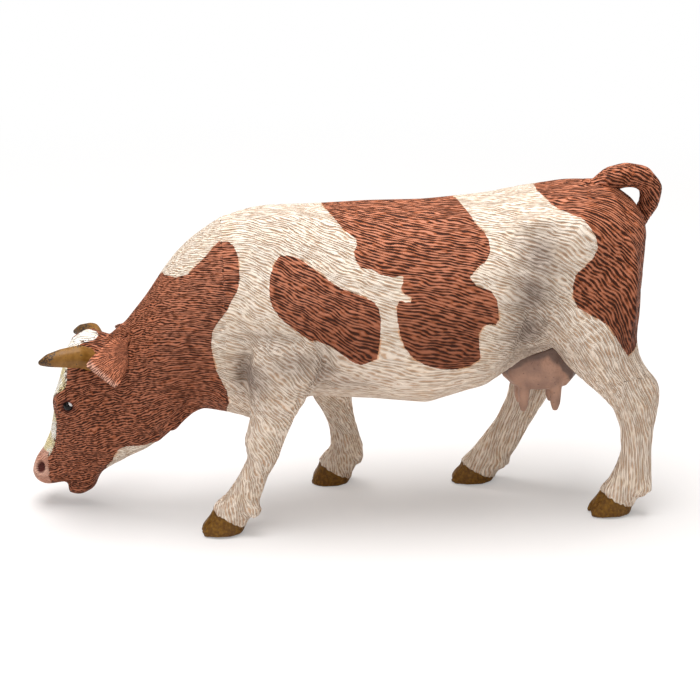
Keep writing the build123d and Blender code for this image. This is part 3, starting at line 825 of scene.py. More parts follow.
def grooved(mesh, kind, comb=None, bare=0.0, fineness=1.0):
    """Presses this kind of locks into a mesh, but where it is bare, and stores the combing for its paint."""
    depth_share, pitch, seed = LOCKS[kind]
    where = places(mesh)
    if comb is None and "comb" in mesh.attributes:
        comb = np.empty(len(where) * 3, np.float32)
        mesh.attributes["comb"].data.foreach_get("vector", comb)
        comb = comb.reshape(-1, 3).astype(float)
    elif comb is None:
        comb = combed(mesh, *coat_flow(where))
    lift = (locks(comb, pitch, seed) - 1) * (1 - bare)
    depth = bpy.context.scene.cow_coat.lock_depth * depth_share
    put(mesh, where + outward(mesh) * (lift * depth)[:, None])
    mark(mesh, "comb", comb * fineness)


def painted(mesh, where, name):
    """Stores the painted areas of a moulding's coat, with its painted shade in the hollows and low down."""
    degrees = np.degrees(np.arctan2(where[:, 2] - BARREL_MIDDLE[1], BARREL_MIDDLE[0] - where[:, 1]))
    degrees = np.where(degrees < -110, degrees + 360, degrees)
    arc = radians(1) * BARREL_RADIUS
    flat = np.stack([where[:, 0], degrees * arc], axis=1)
    brown = np.full(len(where), -1e3)
    for patch in COAT_PATCHES:
        brown = np.maximum(brown, outline_reach(flat, [(x, d * arc) for x, d in patch]))
    if name == "head":
        brown = np.where(where[:, 0] < HEAD_END, 3.0, brown)
    elif name in LEGS:
        brown[:] = -3.0
    brown = np.minimum(brown, -capsule_reach(where, THROAT_MARK))
    # painted shade in the hollows, from the table
    shade = np.zeros(len(where))
    for centre, radii, strength in SHADING:
        shade = np.maximum(shade, strength * np.exp(-(((where - centre) / radii) ** 2).sum(1)))
    mark(mesh, "brown", mask(brown))
    mark(mesh, "shade", shade)
    # painted shade: darker towards the bottom of the body
    mark(mesh, "low", (HEAD_LOW_SHARE if name == "head" else 1.0) * (1 - fade(where[:, 2], *LOW_SHADE_HEIGHTS)))


# Materials

# Paints that no setting holds
LOCK_HIGHLIGHT_BROWN = paint(206, 134, 104)  # painted highlight on the backs of the brown locks
LOW_SHADE_BROWN = paint(118, 60, 32)
EAR_BROWN = paint(206, 124, 88)
EAR_RIM = paint(226, 178, 158)
WARM_CREAM = paint(246, 226, 200)
LOW_SHADE_CREAM = paint(228, 200, 178)
# groove wash where the painted shade is sprayed into the hollows
SHADED_GROOVE = paint(104, 90, 82)
# painted shade in the deepest grooves of the cream
DEEP_GROOVE_SHADE = paint(118, 84, 58)
PATCH_BORDER = paint(222, 150, 88)
BLAZE_LIGHT = paint(250, 248, 240)
POLL_WHITE = paint(250, 249, 246)
# wash in the grooves of the blaze, which also stands in for their shade
BLAZE_GROOVE = paint(196, 160, 84)
BLAZE_SPECK = paint(92, 52, 34)
MUZZLE_LIGHT = paint(222, 176, 156)
OPENING = paint(84, 34, 28)  # in the nostrils and round the eyes, and as painted shade in the clefts of the hooves
HOOF_LIGHT = paint(128, 90, 26)
HORN_LIGHT = paint(142, 100, 40)
UDDER_MOTTLE = paint(150, 116, 100)
UDDER_PIT = paint(92, 66, 56)
# painted shade under the edge of the coat
UDDER_RIM_SHADE = paint(98, 78, 70)
EYE_BLACK = paint(6, 6, 8)
EYE_WHITE = paint(250, 250, 252)

# Grains to the metre of the mottling, specks, wear and pits
COAT_MOTTLE, COAT_SPECK = 260.0, 1400.0
HORN_MOTTLE, HORN_WEAR = 900.0, 2600.0
UDDER_CLOUD, UDDER_PITS = 240.0, 1100.0

# Heights of the bumps, in millimetres, and how strongly each paint shines
COAT_BUMP, HORN_BUMP, UDDER_BUMP = 0.42, 0.05, 0.25
COAT_SHINE, HORN_SHINE, UDDER_SHINE, EYE_SHINE = 0.25, 0.35, 0.5, 0.2

# Strokes of hair: how their bends and breaks are stretched along the hair, across it and across the cow
STROKE_BEND = (0.24, 0.34, 0.34)
STROKE_BREAK = (0.74, 1.3, 1.1)
STROKE_BREAK_STRENGTH = 2.5


def node(tree, kind, inputs=None, **settings):
    """A shader node with its inputs set or linked."""
    made = tree.nodes.new("ShaderNode" + kind)
    for name, value in settings.items():
        setattr(made, name, value)
    for name, value in (inputs or {}).items():
        plug = made.inputs[name]
        if isinstance(value, bpy.types.NodeSocket):
            tree.links.new(value, plug)
        else:
            plug.default_value = value
    return made


def maths(tree, operation, first, second=0.5, third=0.5):
    """The result of one sum, such as a product of two masks."""
    return node(tree, "Math", {0: first, 1: second, 2: third}, operation=operation).outputs[0]


def times(tree, first, second):
    """One value times the other."""
    return maths(tree, "MULTIPLY", first, second)


def scaled(tree, value, factor, offset):
    """The value times the factor, plus the offset."""
    return maths(tree, "MULTIPLY_ADD", value, factor, offset)


def mixed(tree, factor, first, second):
    """The first colour with the second painted over it."""
    made = tree.nodes.new("ShaderNodeMix")
    made.data_type = "RGBA"
    for plug, value in ((made.inputs[0], factor), (made.inputs[6], first), (made.inputs[7], second)):
        if isinstance(value, bpy.types.NodeSocket):
            tree.links.new(value, plug)
        elif isinstance(value, (int, float)):
            plug.default_value = value
        else:
            plug.default_value = (*value, 1) if len(value) == 3 else value
    return made.outputs[2]


def ramped(tree, value, low, high, to_low=0.0, to_high=1.0):
    """to_low where the value is below low, to_high where it is above high, and smooth between them."""
    made = node(
        tree, "MapRange",
        {"Value": value, "From Min": low, "From Max": high, "To Min": to_low, "To Max": to_high},
        interpolation_type="SMOOTHSTEP",
    )
    return made.outputs[0]


def read(tree, name, vector=False):
    """What a piece's vertices store under this name."""
    made = node(tree, "Attribute", attribute_name=name, attribute_type="GEOMETRY")
    return made.outputs["Vector" if vector else "Fac"]


def grain_group():
    """Grains of uneven paint, and the patches where they gather, shared by every paint but the eyes'."""
    group = bpy.data.node_groups.new("Uneven paint", "ShaderNodeTree")
    plugs = group.interface
    plugs.new_socket("Vector", in_out="INPUT", socket_type="NodeSocketVector")
    for name in ("Scale", "Detail", "From", "To"):
        plugs.new_socket(name, in_out="INPUT", socket_type="NodeSocketFloat")
    for name in ("Grain", "Patches"):
        plugs.new_socket(name, in_out="OUTPUT", socket_type="NodeSocketFloat")
    given = group.nodes.new("NodeGroupInput").outputs
    leave = group.nodes.new("NodeGroupOutput")
    noise_node = node(group, "TexNoise", {name: given[name] for name in ("Vector", "Scale", "Detail")})
    grains = noise_node.outputs["Fac"]
    group.links.new(grains, leave.inputs["Grain"])
    group.links.new(ramped(group, grains, given["From"], given["To"]), leave.inputs["Patches"])
    return group


def grain(tree, scale, detail, low=0.35, high=0.7):
    """Grains that stay with the piece, and the patches where they gather."""
    made = tree.nodes.new("ShaderNodeGroup")
    made.node_tree = SHARED["grain"]
    tree.links.new(node(tree, "TexCoord").outputs["Object"], made.inputs["Vector"])
    for name, value in (("Scale", scale), ("Detail", detail), ("From", low), ("To", high)):
        made.inputs[name].default_value = value
    return made.outputs["Grain"], made.outputs["Patches"]


def hair_group():
    """Fine grooves of combed hair."""
    group = bpy.data.node_groups.new("Combed grooves", "ShaderNodeTree")
    plugs = group.interface
    plugs.new_socket("Vector", in_out="INPUT", socket_type="NodeSocketVector")
    plugs.new_socket("Pitch", in_out="INPUT", socket_type="NodeSocketFloat").default_value = 0.66
    plugs.new_socket("Sway", in_out="INPUT", socket_type="NodeSocketFloat").default_value = 3.0
    for name in ("Groove", "Height", "Deep"):
        plugs.new_socket(name, in_out="OUTPUT", socket_type="NodeSocketFloat")
    entry = group.nodes.new("NodeGroupInput")
    leave = group.nodes.new("NodeGroupOutput")
    place = entry.outputs["Vector"]
    across = node(group, "SeparateXYZ", {0: place}).outputs[1]
    noises = []
    for stretch in (STROKE_BEND, STROKE_BREAK):
        stretched = node(group, "VectorMath", {0: place, 1: stretch}, operation="MULTIPLY")
        made = node(group, "TexNoise", {"Vector": stretched.outputs[0], "Scale": 1.0, "Detail": 0.8})
        noises.append(maths(group, "SUBTRACT", made.outputs["Fac"], 0.5))
    bend, broken = noises
    per_pitch = maths(group, "DIVIDE", 1.0, entry.outputs["Pitch"])
    turns = scaled(group, across, per_pitch, times(group, bend, entry.outputs["Sway"]))
    carrier = maths(group, "SINE", times(group, turns, 2 * pi))
    wave = scaled(group, broken, STROKE_BREAK_STRENGTH, scaled(group, carrier, 0.5, 0.5))
    group.links.new(ramped(group, wave, 0.02, 0.46, 1.0, 0.0), leave.inputs["Groove"])
    group.links.new(ramped(group, wave, -0.1, 1.05), leave.inputs["Height"])
    group.links.new(ramped(group, wave, -0.45, 0.05, 1.0, 0.0), leave.inputs["Deep"])
    return group


def start_material(name):
    """A new material, its nodes and its shader."""
    material = bpy.data.materials.new(name)
    material.use_nodes = True
    tree = material.node_tree
    return material, tree, tree.nodes["Principled BSDF"]


def finish_material(tree, shader, colour, rough, height, bump, shine):
    """Joins the colour, roughness and bumps to the shader."""
    tree.links.new(colour, shader.inputs["Base Color"])
    tree.links.new(rough, shader.inputs["Roughness"])
    made = node(tree, "Bump", {"Height": height, "Distance": bump * MM, "Strength": 1.0})
    tree.links.new(made.outputs[0], shader.inputs["Normal"])
    shader.inputs["Specular IOR Level"].default_value = shine


def brown_paint(tree, coat, clouds, hair, groove):
    """Brown with a painted highlight on the backs of the locks, lighter on the ears, painted shade low down,
    and a dark wash in the grooves that also stands in for their shade.
    """
    light = [min(1, value * 1.22) for value in coat.brown]
    brown = mixed(tree, clouds, coat.brown, light)
    # painted highlight on the backs of the locks
    brown = mixed(tree, ramped(tree, hair.outputs["Height"], 0.62, 1.0, 0.0, 0.75), brown, LOCK_HIGHLIGHT_BROWN)
    # painted shade low on the body
    brown = mixed(tree, times(tree, read(tree, "low"), 0.7), brown, LOW_SHADE_BROWN)
    brown = mixed(tree, times(tree, read(tree, "ear"), 0.75), brown, EAR_BROWN)
    brown = mixed(tree, times(tree, read(tree, "pale_rim"), 0.7), brown, EAR_RIM)
    # dark wash in the grooves, which also stands in for their shade
    return mixed(tree, groove, brown, coat.brown_groove)


def cream_paint(tree, coat, mottle, groove, deep):
    """Cream with a tan wash in the grooves that also stands in for their shade, grey sprayed into the hollows
    as painted shade, and darker low down as painted shade.
    """
    low = read(tree, "low")
    cream = mixed(tree, ramped(tree, mottle, 0.4, 0.75, 0.0, 0.5), coat.cream, WARM_CREAM)
    # painted shade low on the body
    cream = mixed(tree, times(tree, times(tree, low, low), 0.15), cream, LOW_SHADE_CREAM)
    # painted shade: grey sprayed into the hollows, with a greyer wash in their grooves
    sprayed = times(tree, read(tree, "shade"), ramped(tree, mottle, 0.2, 0.6, 0.75, 1.0))
    cream = mixed(tree, times(tree, sprayed, 0.9), cream, coat.shade)
    wash = mixed(tree, sprayed, coat.cream_groove, SHADED_GROOVE)
    # tan wash in the grooves, which also stands in for their shade
    cream = mixed(tree, times(tree, groove, times(tree, groove, 0.75)), cream, wash)
    # painted shade in the deepest grooves, weaker low down
    return mixed(tree, times(tree, deep, scaled(tree, low, -0.2, 0.6)), cream, DEEP_GROOVE_SHADE)


def pale_paint(tree, trim, mottle, speck, groove):
    """The blaze: yellowish below, white on the poll, and specked with brown along its edge."""
    pale = mixed(tree, ramped(tree, mottle, 0.4, 0.6), trim.blaze, BLAZE_LIGHT)
    pale = mixed(tree, read(tree, "white"), pale, POLL_WHITE)
    # wash in the grooves of the blaze, which also stands in for their shade
    pale = mixed(tree, times(tree, groove, 0.45), pale, BLAZE_GROOVE)
    along_edge = ramped(tree, read(tree, "pale"), 0.62, 0.84, 1.0, 0.0)
    return mixed(tree, times(tree, ramped(tree, speck, 0.54, 0.60), along_edge), pale, BLAZE_SPECK)


def coat_material(coat, trim):
    """The painted coat, with the muzzle and the hooves."""
    material, tree, shader = start_material("Painted coat")
    hair = tree.nodes.new("ShaderNodeGroup")
    hair.node_tree = SHARED["hair"]
    tree.links.new(read(tree, "comb", vector=True), hair.inputs["Vector"])
    hair.inputs["Pitch"].default_value = coat.groove_pitch
    room = scaled(tree, read(tree, "crowded"), -0.75, 1.0)
    groove = times(tree, hair.outputs["Groove"], scaled(tree, read(tree, "ear"), -0.2, 1.0))
    groove = times(tree, groove, room)
    mottle, clouds = grain(tree, COAT_MOTTLE, 3.0)
    speck, specks = grain(tree, COAT_SPECK, 2.0, 0.3, 0.75)
    ragged = scaled(tree, speck, 0.16, -0.08)
    brown = brown_paint(tree, coat, clouds, hair, groove)
    cream = cream_paint(tree, coat, mottle, groove, times(tree, hair.outputs["Deep"], room))
    # border of the brown patches
    edge = maths(tree, "ADD", read(tree, "brown"), ragged)
    border = times(tree, ramped(tree, edge, 0.34, 0.47), ramped(tree, mottle, 0.5, 0.62))
    cream = mixed(tree, times(tree, border, 0.7), cream, PATCH_BORDER)
    colour = mixed(tree, ramped(tree, edge, 0.48, 0.53), cream, brown)
    # pale marks, muzzle, openings and hooves
    pale_edge = maths(tree, "ADD", read(tree, "pale"), ragged)
    pale = pale_paint(tree, trim, mottle, speck, groove)
    colour = mixed(tree, ramped(tree, pale_edge, 0.46, 0.53), colour, pale)
    pink = mixed(tree, clouds, trim.muzzle, MUZZLE_LIGHT)
    colour = mixed(tree, ramped(tree, read(tree, "pink"), 0.44, 0.56), colour, pink)
    # dark nostrils and rings round the eyes, and painted shade in the hoof clefts
    colour = mixed(tree, read(tree, "dark"), colour, OPENING)
    horny = mixed(tree, specks, trim.hoof, HOOF_LIGHT)
    hoof = ramped(tree, read(tree, "hoof"), 0.47, 0.53)
    colour = mixed(tree, hoof, colour, horny)
    rough = scaled(tree, hoof, -0.14, scaled(tree, groove, 0.2, 0.56))
    bare = maths(tree, "SUBTRACT", 1.0, times(tree, hoof, 0.85))
    height = times(tree, hair.outputs["Height"], times(tree, bare, room))
    finish_material(tree, shader, colour, rough, height, COAT_BUMP, COAT_SHINE)
    return material


def horn_material(trim):
    """Olive horns with worn dark tips."""
    material, tree, shader = start_material("Painted horn")
    mottle, clouds = grain(tree, HORN_MOTTLE, 4.0)
    body = mixed(tree, clouds, trim.horn, HORN_LIGHT)
    tip = maths(tree, "ADD", read(tree, "tip"), scaled(tree, mottle, 3.6, -1.8))
    worn = scaled(tree, grain(tree, HORN_WEAR, 2.0, 0.40, 0.56)[1], 0.7, 0.25)
    colour = mixed(tree, times(tree, ramped(tree, tip, 0.4, 0.7), worn), body, trim.horn_tip)
    finish_material(tree, shader, colour, scaled(tree, mottle, 0.2, 0.42), mottle, HORN_BUMP, HORN_SHINE)
    return material


def udder_material(trim):
    """Bare skin with small pits, and painted shade under the edge of the coat and on its front."""
    material, tree, shader = start_material("Painted udder")
    cloud, clouds = grain(tree, UDDER_CLOUD, 4.0, 0.35, 0.65)
    pits, pitted = grain(tree, UDDER_PITS, 3.0, 0.62, 0.70)
    colour = mixed(tree, clouds, trim.udder, UDDER_MOTTLE)
    colour = mixed(tree, times(tree, pitted, 0.7), colour, UDDER_PIT)
    # painted shade under the edge of the coat
    colour = mixed(tree, read(tree, "dark"), colour, UDDER_RIM_SHADE)
    finish_material(tree, shader, colour, scaled(tree, cloud, 0.2, 0.45), pits, UDDER_BUMP, UDDER_SHINE)
    return material


def eye_material():
    """Glossy black with a painted light."""
    material, tree, shader = start_material("Painted eye")
    colour = mixed(tree, ramped(tree, read(tree, "pale"), 0.45, 0.55), EYE_BLACK, EYE_WHITE)
    tree.links.new(colour, shader.inputs["Base Color"])
    shader.inputs["Roughness"].default_value = 0.2
    shader.inputs["Specular IOR Level"].default_value = EYE_SHINE
    return material


SHARED = {}


def material_of(kind):
    """The finished material of this kind, made the first time that a piece asks for it."""
    scene = bpy.context.scene
    if not SHARED:
        SHARED.update(hair=hair_group(), grain=grain_group())
    if kind not in SHARED:
        makers = {
            "coat": lambda: coat_material(scene.cow_coat, scene.cow_trim),
            "horn": lambda: horn_material(scene.cow_trim),
            "udder": lambda: udder_material(scene.cow_trim),
            "eye": eye_material,
        }
        SHARED[kind] = makers[kind]()
    return SHARED[kind]


# Operators


def coat_finished(part, name):
    """Closes a coated moulding and gives it its paint."""
    close(part)
    finished(name + "_coat", part, material_of("coat"), name)


class COW_OT_torso(bpy.types.Operator):
    """Builds the torso moulding"""

    bl_idname = "cow.torso"
    bl_label = "Torso"

    def execute(self, context):
        part, rim = parted(context.scene.cow_coat.body_voxel, "torso")
        where = places(part)
        grooved(part, "torso", bare=rim)
        painted(part, where, "torso")
        coat_finished(part, "torso")
        return {"FINISHED"}


class COW_OT_head(bpy.types.Operator):
    """Builds the head moulding with its muzzle and nostrils"""

    bl_idname = "cow.head"
    bl_label = "Head"

    def execute(self, context):
        part, rim = parted(context.scene.cow_coat.limb_voxel, "head", halved=True)
        where = places(part)
        pink, dark, pale = head_paint(where)
        grooved(part, "head", bare=np.maximum(rim, np.clip(pink * 2 - 0.6, 0, 1)), fineness=1.25)
        put(part, places(part) - outward(part) * (NOSTRIL_DEPTH * dark * pink)[:, None])
        mark(part, "pink", pink)
        mark(part, "dark", dark)
        mark(part, "pale", pale)
        mark(part, "white", fade(where[:, 2], POLL_WHITE_FROM, POLL_WHITE_TO))
        painted(part, where, "head")
        coat_finished(part, "head")
        return {"FINISHED"}


class COW_OT_legs(bpy.types.Operator):
    """Builds the four lower legs with their cloven hooves"""

    bl_idname = "cow.legs"
    bl_label = "Legs"

    def execute(self, context):
        for name in LEGS:
            part, rim = parted(context.scene.cow_coat.limb_voxel, name, halved=True)
            where = places(part)
            hoof = hoof_reach(name, where)
            bare = fade(hoof, -0.1, 0.2)
            grooved(part, "legs", bare=np.maximum(rim, bare))
            shape_hoof(part, bare, -1 if "left" in name else 1)
            mark(part, "hoof", mask(hoof))
            painted(part, where, name)
            coat_finished(part, name)
        return {"FINISHED"}


def shape_hoof(part, bare, side):
    """Sinks the bare horn below the hair, cleaves its front with painted shade in the cleft, and flattens its
    sole.
    """
    where = places(part) - outward(part) * (bare * HOOF_RECESS)[:, None]
    low = where[:, 2] < SOLE_HEIGHT
    middle = where[low].mean(0)
    aside = (where[:, 1] - middle[1] - side * CLEFT_OFFSET) / CLEFT_WIDTH
    cleft = bare * np.exp(-(aside ** 2)) * (where[:, 0] < middle[0])
    where[:, 0] += CLEFT_DEPTH * cleft
    # painted shade in the cleft
    mark(part, "dark", 0.7 * cleft)
    stretch = SOLE_HEIGHT / (SOLE_HEIGHT - where[:, 2].min())
    where[low, 2] = SOLE_HEIGHT - (SOLE_HEIGHT - where[low, 2]) * stretch
    put(part, where)


def hoof_reach(name, where):
    """How far each place lies below the line where the hair ends, which hangs over in short tufts."""
    (front, top), (back, low) = CORONETS[name]
    slope = (low - top) / (back - front)
    line = top + slope * (where[:, 0] - front)
    tufts = 0.35 * noise(np.stack([where[:, 0] * 1.5, where[:, 1] * 1.5, where[:, 2] * 0.2], axis=1), 91)
    return line - where[:, 2] + tufts


def on_head(where):
    """Places as seen along the turned head: from the withers to the nose, across to its right, and up."""
    ahead, aside = where[:, 0] - HEAD_PIVOT[0], where[:, 1] - HEAD_PIVOT[1]
    reach = PIVOT_REACH - ahead * cos(HEAD_TURN) - aside * sin(HEAD_TURN)
    across = aside * cos(HEAD_TURN) - ahead * sin(HEAD_TURN)
    return np.stack([reach, across, where[:, 2] + across * sin(HEAD_TILT)], axis=1)


def head_paint(where):
    """Painted areas of the head: the pink muzzle, dark openings and pale marks."""
    seen = on_head(where)
    below = MUZZLE_TOP - seen[:, 2]
    pink = mask(np.minimum(seen[:, 0] - MUZZLE_START + 0.3 * noise(where * 1.1, 5), below))
    dark = np.zeros(len(where))
    for side in (-1, 1):
        away = (seen - np.array(NOSTRIL) * [1, side, 1]) / NOSTRIL_RADII
        dark = np.maximum(dark, 1 - fade((away ** 2).sum(1), 0.55, 1.3))
    for middle, axis in EYES.values():
        away = where - middle
        ring = np.linalg.norm(np.cross(away, axis), axis=1)
        near = np.abs(away @ np.array(axis)) < LINER_REACH
        liner = LINER_STRENGTH * np.exp(-(((ring - LINER_RADIUS) / LINER_WIDTH) ** 2))
        dark = np.maximum(dark, near * liner)
    pale = mask(np.maximum(capsule_reach(where, POLL_MARK), capsule_reach(where, BLAZE_MARK)))
    return pink, dark, pale


# Small mouldings: size of their quads and rounds of smoothing
TRIM_MESHES = {"horn": (0.16, 60), "ear": (0.18, 10), "tail": (0.24, 110), "udder": (0.22, 12)}

# Horns: how far each root sinks along, across and up, and how far the whole right horn is set over
HORN_ROOT = 5.0  # length of the root, along the cow
HORN_SINK = {"left_horn": (0.0, 0.0, 1.3), "right_horn": (1.28, 0.0, 3.2)}
RIGHT_HORN_SHIFT = (-0.9, 0.0, -0.4)
TIP_FROM, TIP_TO = 6.0, 2.0  # behind the foremost point, where the dark tip starts and is full
TIP_LEAN = 0.15  # how much of its way to the side counts as forward

# Ears: how much they bend outwards, and the right one upwards too, with the square of the way from the root
EAR_BEND = 0.014
RIGHT_EAR_BEND = (-0.006, 0.0115)  # along and up
EAR_FAN = 9.5  # grooves fan out from the root as on a circle of this radius
EAR_RIM_LINE = (0.663, -0.749)  # across the front edge on the turned head, along and up
EAR_RIM_FROM, EAR_RIM_TO = -13.2, -12.2

# Tail: how far it swells, and how far its root is lowered on the croup
TAIL_SWELL = 0.45
TAIL_DROP = 1.5
TAIL_DROP_FROM, TAIL_DROP_TO = 59.5, 64.5  # along the cow, full before the first, gone behind the second
TAIL_ROOT_HEIGHT = 74.0

# Udder, painted shade: how far below the arch its dark rim ends and is full, and where its dark front is full
# and ends
UDDER_RIM_FROM, UDDER_RIM_TO = -3.4, -1.8
UDDER_FRONT_FULL, UDDER_FRONT_END = 41.0, 45.5  # along
UDDER_FRONT_LOW, UDDER_FRONT_HIGH = 33.5, 36.5  # up


def trim_mesh(name):
    """A small moulding as an even, relaxed mesh, and the places of its vertices."""
    voxel, rounds = TRIM_MESHES[name.split("_")[-1]]
    mesh = remeshed(welded(name), voxel)
    return mesh, relaxed(mesh, rounds, np.full(len(mesh.vertices), 0.5))


class COW_OT_horns(bpy.types.Operator):
    """Builds both horns"""

    bl_idname = "cow.horns"
    bl_label = "Horns"

    def execute(self, context):
        for name, sink in HORN_SINK.items():
            mesh, where = trim_mesh(name)
            side = -1 if name == "left_horn" else 1
            root = fade(where[:, 0], where[:, 0].max() - HORN_ROOT, where[:, 0].max())
            where -= root[:, None] * sink
            if side > 0:
                where += RIGHT_HORN_SHIFT
            put(mesh, where)
            forward = -where[:, 0] - side * where[:, 1] * TIP_LEAN
            mark(mesh, "tip", fade(forward, forward.max() - TIP_FROM, forward.max() - TIP_TO))
            finished(name + "_paint", mesh, material_of("horn"), name)
        return {"FINISHED"}


class COW_OT_ears(bpy.types.Operator):
    """Builds both ears"""

    bl_idname = "cow.ears"
    bl_label = "Ears"

    def execute(self, context):
        for name in ("left_ear", "right_ear"):
            mesh, where = trim_mesh(name)
            seen = on_head(where)
            side = -1 if name == "left_ear" else 1
            away = seen - np.array(EAR_ROOT) * [1, side, 1]
            far = np.linalg.norm(away, axis=1)
            comb = np.stack([far, EAR_FAN * np.arctan2(away[:, 2], away[:, 0]), seen[:, 1]], axis=1)
            where[:, 1] += side * EAR_BEND * far ** 2
            if side > 0:
                where[:, [0, 2]] += np.array(RIGHT_EAR_BEND) * far[:, None] ** 2
            put(mesh, where)
            grooved(mesh, "ears", comb=comb, fineness=1.2)
            mark(mesh, "pale_rim", fade(seen[:, [0, 2]] @ np.array(EAR_RIM_LINE), EAR_RIM_FROM, EAR_RIM_TO))
            mark(mesh, "ear", np.ones(len(where)))
            mark(mesh, "brown", np.ones(len(where)))
            finished(name + "_coat", mesh, material_of("coat"), name)
        return {"FINISHED"}


class COW_OT_tail(bpy.types.Operator):
    """Builds the tail"""

    bl_idname = "cow.tail"
    bl_label = "Tail"

    def execute(self, context):
        mesh, where = trim_mesh("tail")
        where = where + outward(mesh) * TAIL_SWELL
        ahead = 1 - fade(where[:, 0], TAIL_DROP_FROM, TAIL_DROP_TO)
        where[:, 2] -= TAIL_DROP * ahead * (where[:, 2] > TAIL_ROOT_HEIGHT)
        put(mesh, where)
        grooved(mesh, "tail")
        mark(mesh, "brown", np.ones(len(where)))
        finished("tail_coat", mesh, material_of("coat"), "tail")
        return {"FINISHED"}


class COW_OT_udder(bpy.types.Operator):
    """Builds the udder with its teats"""

    bl_idname = "cow.udder"
    bl_label = "Udder"

    def execute(self, context):
        mesh, where = trim_mesh("udder")
        arch = np.interp(where[:, 0], *zip(*UDDER_ARCH))
        above = where[:, 2] - arch + 0.8 * noise(where * 0.7, 71)
        behind = where[:, 0] - 0.8 * noise(where * 0.5, 73)
        front = fade(-behind, -UDDER_FRONT_END, -UDDER_FRONT_FULL)
        front = front * fade(where[:, 2], UDDER_FRONT_LOW, UDDER_FRONT_HIGH)
        # painted shade under the edge of the coat and on the udder's front
        mark(mesh, "dark", 0.9 * np.maximum(fade(above, UDDER_RIM_FROM, UDDER_RIM_TO), 0.6 * front))
        finished("udder_skin", mesh, material_of("udder"), "udder")
        return {"FINISHED"}


class COW_OT_eyes(bpy.types.Operator):
    """Builds both eyes"""

    bl_idname = "cow.eyes"
    bl_label = "Eyes"

    def execute(self, context):
        for name, (middle, facing) in EYES.items():
            ball = bmesh.new()
            bmesh.ops.create_uvsphere(ball, u_segments=32, v_segments=20, radius=EYE_RADIUS * MM)
            bmesh.ops.translate(ball, verts=ball.verts, vec=Vector(middle) * MM)
            mesh = bpy.data.meshes.new(name)
            ball.to_mesh(mesh)
            ball.free()
            light = np.array(middle) + np.array(facing) * EYE_FRONT + np.array(EYE_LIGHT)
            away = np.linalg.norm(places(mesh) - light, axis=1)
            mark(mesh, "pale", mask((EYE_LIGHT_RADIUS - away) * 3))
            finished(name, mesh, material_of("eye"))
        return {"FINISHED"}


# Lamps: place and size, in metres, both turned to the middle of the cow
LAMPS = {"overhead": ((-0.05, 0.02, 0.70), 0.55), "front": ((-0.40, -0.62, 0.45), 0.50)}
LIT_PLACE = (0, 0, 0.04)

# Floor, in metres: half its width, and how far from the cow its white glow starts to grow and is full
FLOOR_REACH_M = 3.0
GLOW_FROM_M, GLOW_TO_M = 0.08, 0.42
GLOW_LEAST = 0.3

# What the camera looks at, in millimetres
CAMERA_TARGET = (1.45, -0.8, 41.5)


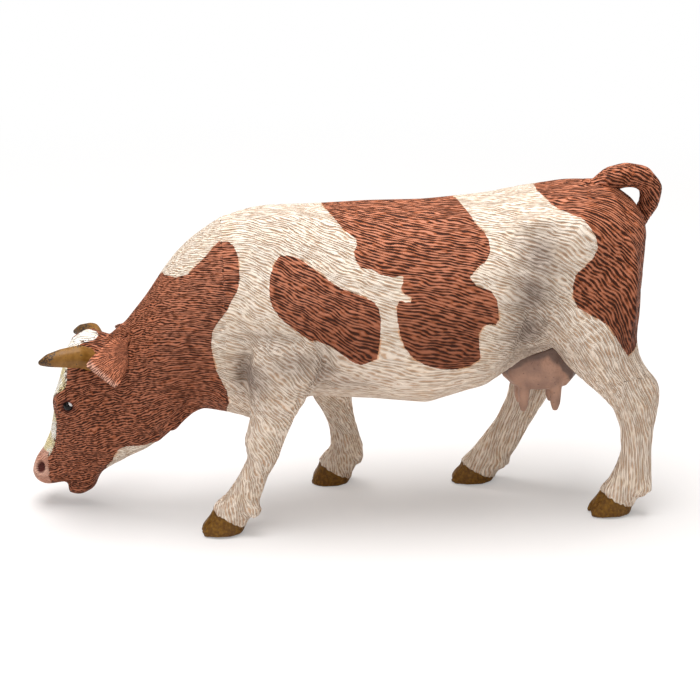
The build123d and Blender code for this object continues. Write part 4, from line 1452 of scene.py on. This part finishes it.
class COW_OT_stage(bpy.types.Operator):
    """Builds the floor, the light and the camera"""

    bl_idname = "cow.stage"
    bl_label = "Stage"

    def execute(self, context):
        stage = context.scene.cow_stage
        self.build_floor(stage)
        world = bpy.data.worlds.new("Studio")
        context.scene.world = world
        world.use_nodes = True
        backdrop = world.node_tree.nodes["Background"]
        backdrop.inputs["Color"].default_value = (*stage.surround_tint, 1)
        backdrop.inputs["Strength"].default_value = stage.surround
        for name, (place, size) in LAMPS.items():
            lamp = bpy.data.lights.new(name.capitalize(), "AREA")
            lamp.size = size
            lamp.energy = getattr(stage, name)
            holder = new_object(name.capitalize(), lamp)
            holder.location = place
            holder.rotation_euler = (Vector(LIT_PLACE) - Vector(place)).to_track_quat("-Z", "Y").to_euler()
        lens = bpy.data.cameras.new("Photographer")
        lens.lens = stage.lens
        lens.sensor_width = 36.0
        lens.clip_start = 0.01
        camera = new_object("Photographer", lens)
        turn, tilt = stage.azimuth, stage.elevation
        back = Vector((sin(turn) * cos(tilt), -cos(turn) * cos(tilt), sin(tilt)))
        camera.location = Vector(CAMERA_TARGET) * MM + back * stage.reach * MM
        camera.rotation_euler = back.to_track_quat("Z", "Y").to_euler()
        context.scene.camera = camera
        context.scene.view_settings.view_transform = "Standard"
        return {"FINISHED"}

    def build_floor(self, stage):
        """A pale floor that takes the shadow and glows white towards its edge, to the camera alone."""
        grid = bmesh.new()
        bmesh.ops.create_grid(grid, x_segments=1, y_segments=1, size=FLOOR_REACH_M)
        mesh = bpy.data.meshes.new("floor")
        grid.to_mesh(mesh)
        grid.free()
        ground = new_object("floor", mesh)
        material, tree, shader = start_material("Pale floor")
        shader.inputs["Base Color"].default_value = (*stage.floor, 1)
        shader.inputs["Roughness"].default_value = 0.7
        here = node(tree, "TexCoord").outputs["Object"]
        away = node(tree, "VectorMath", {0: here}, operation="LENGTH").outputs["Value"]
        far = ramped(tree, away, GLOW_FROM_M, GLOW_TO_M, GLOW_LEAST, 1.0)
        seen = node(tree, "LightPath").outputs["Is Camera Ray"]
        glow = node(tree, "Emission", {"Color": (1, 1, 1, 1), "Strength": 1.0})
        blend = node(tree, "MixShader", {0: times(tree, far, seen)})
        tree.links.new(shader.outputs[0], blend.inputs[1])
        tree.links.new(glow.outputs[0], blend.inputs[2])
        tree.links.new(blend.outputs[0], tree.nodes["Material Output"].inputs["Surface"])
        mesh.materials.append(material)


class COW_PT_panel(bpy.types.Panel):
    """Lists the steps that build the figurine"""

    bl_label = "Dairy cow figurine"
    bl_idname = "COW_PT_panel"
    bl_space_type = "VIEW_3D"
    bl_region_type = "UI"
    bl_category = "Figurine"

    def draw(self, context):
        for settings in (context.scene.cow_coat, context.scene.cow_trim, context.scene.cow_stage):
            box = self.layout.box()
            for name in settings.__annotations__:
                box.prop(settings, name)
        for step in STEPS:
            self.layout.operator(step.bl_idname)


STEPS = (
    COW_OT_torso, COW_OT_head, COW_OT_legs, COW_OT_eyes, COW_OT_horns, COW_OT_ears, COW_OT_udder,
    COW_OT_tail, COW_OT_stage,
)
GROUPS = {"cow_coat": CoatSettings, "cow_trim": TrimSettings, "cow_stage": StageSettings}


def register():
    """Registers the settings, the steps and the panel."""
    for settings in GROUPS.values():
        bpy.utils.register_class(settings)
    for name, settings in GROUPS.items():
        setattr(bpy.types.Scene, name, bpy.props.PointerProperty(type=settings))
    for step in STEPS:
        bpy.utils.register_class(step)
    bpy.utils.register_class(COW_PT_panel)


def unregister():
    """Takes away what register added."""
    bpy.utils.unregister_class(COW_PT_panel)
    for step in reversed(STEPS):
        bpy.utils.unregister_class(step)
    for name, settings in GROUPS.items():
        delattr(bpy.types.Scene, name)
        bpy.utils.unregister_class(settings)


def main():
    """Builds every piece and the stage."""
    register()
    for step in STEPS:
        group, name = step.bl_idname.split(".")
        getattr(getattr(bpy.ops, group), name)()


if __name__ == "__main__":
    main()
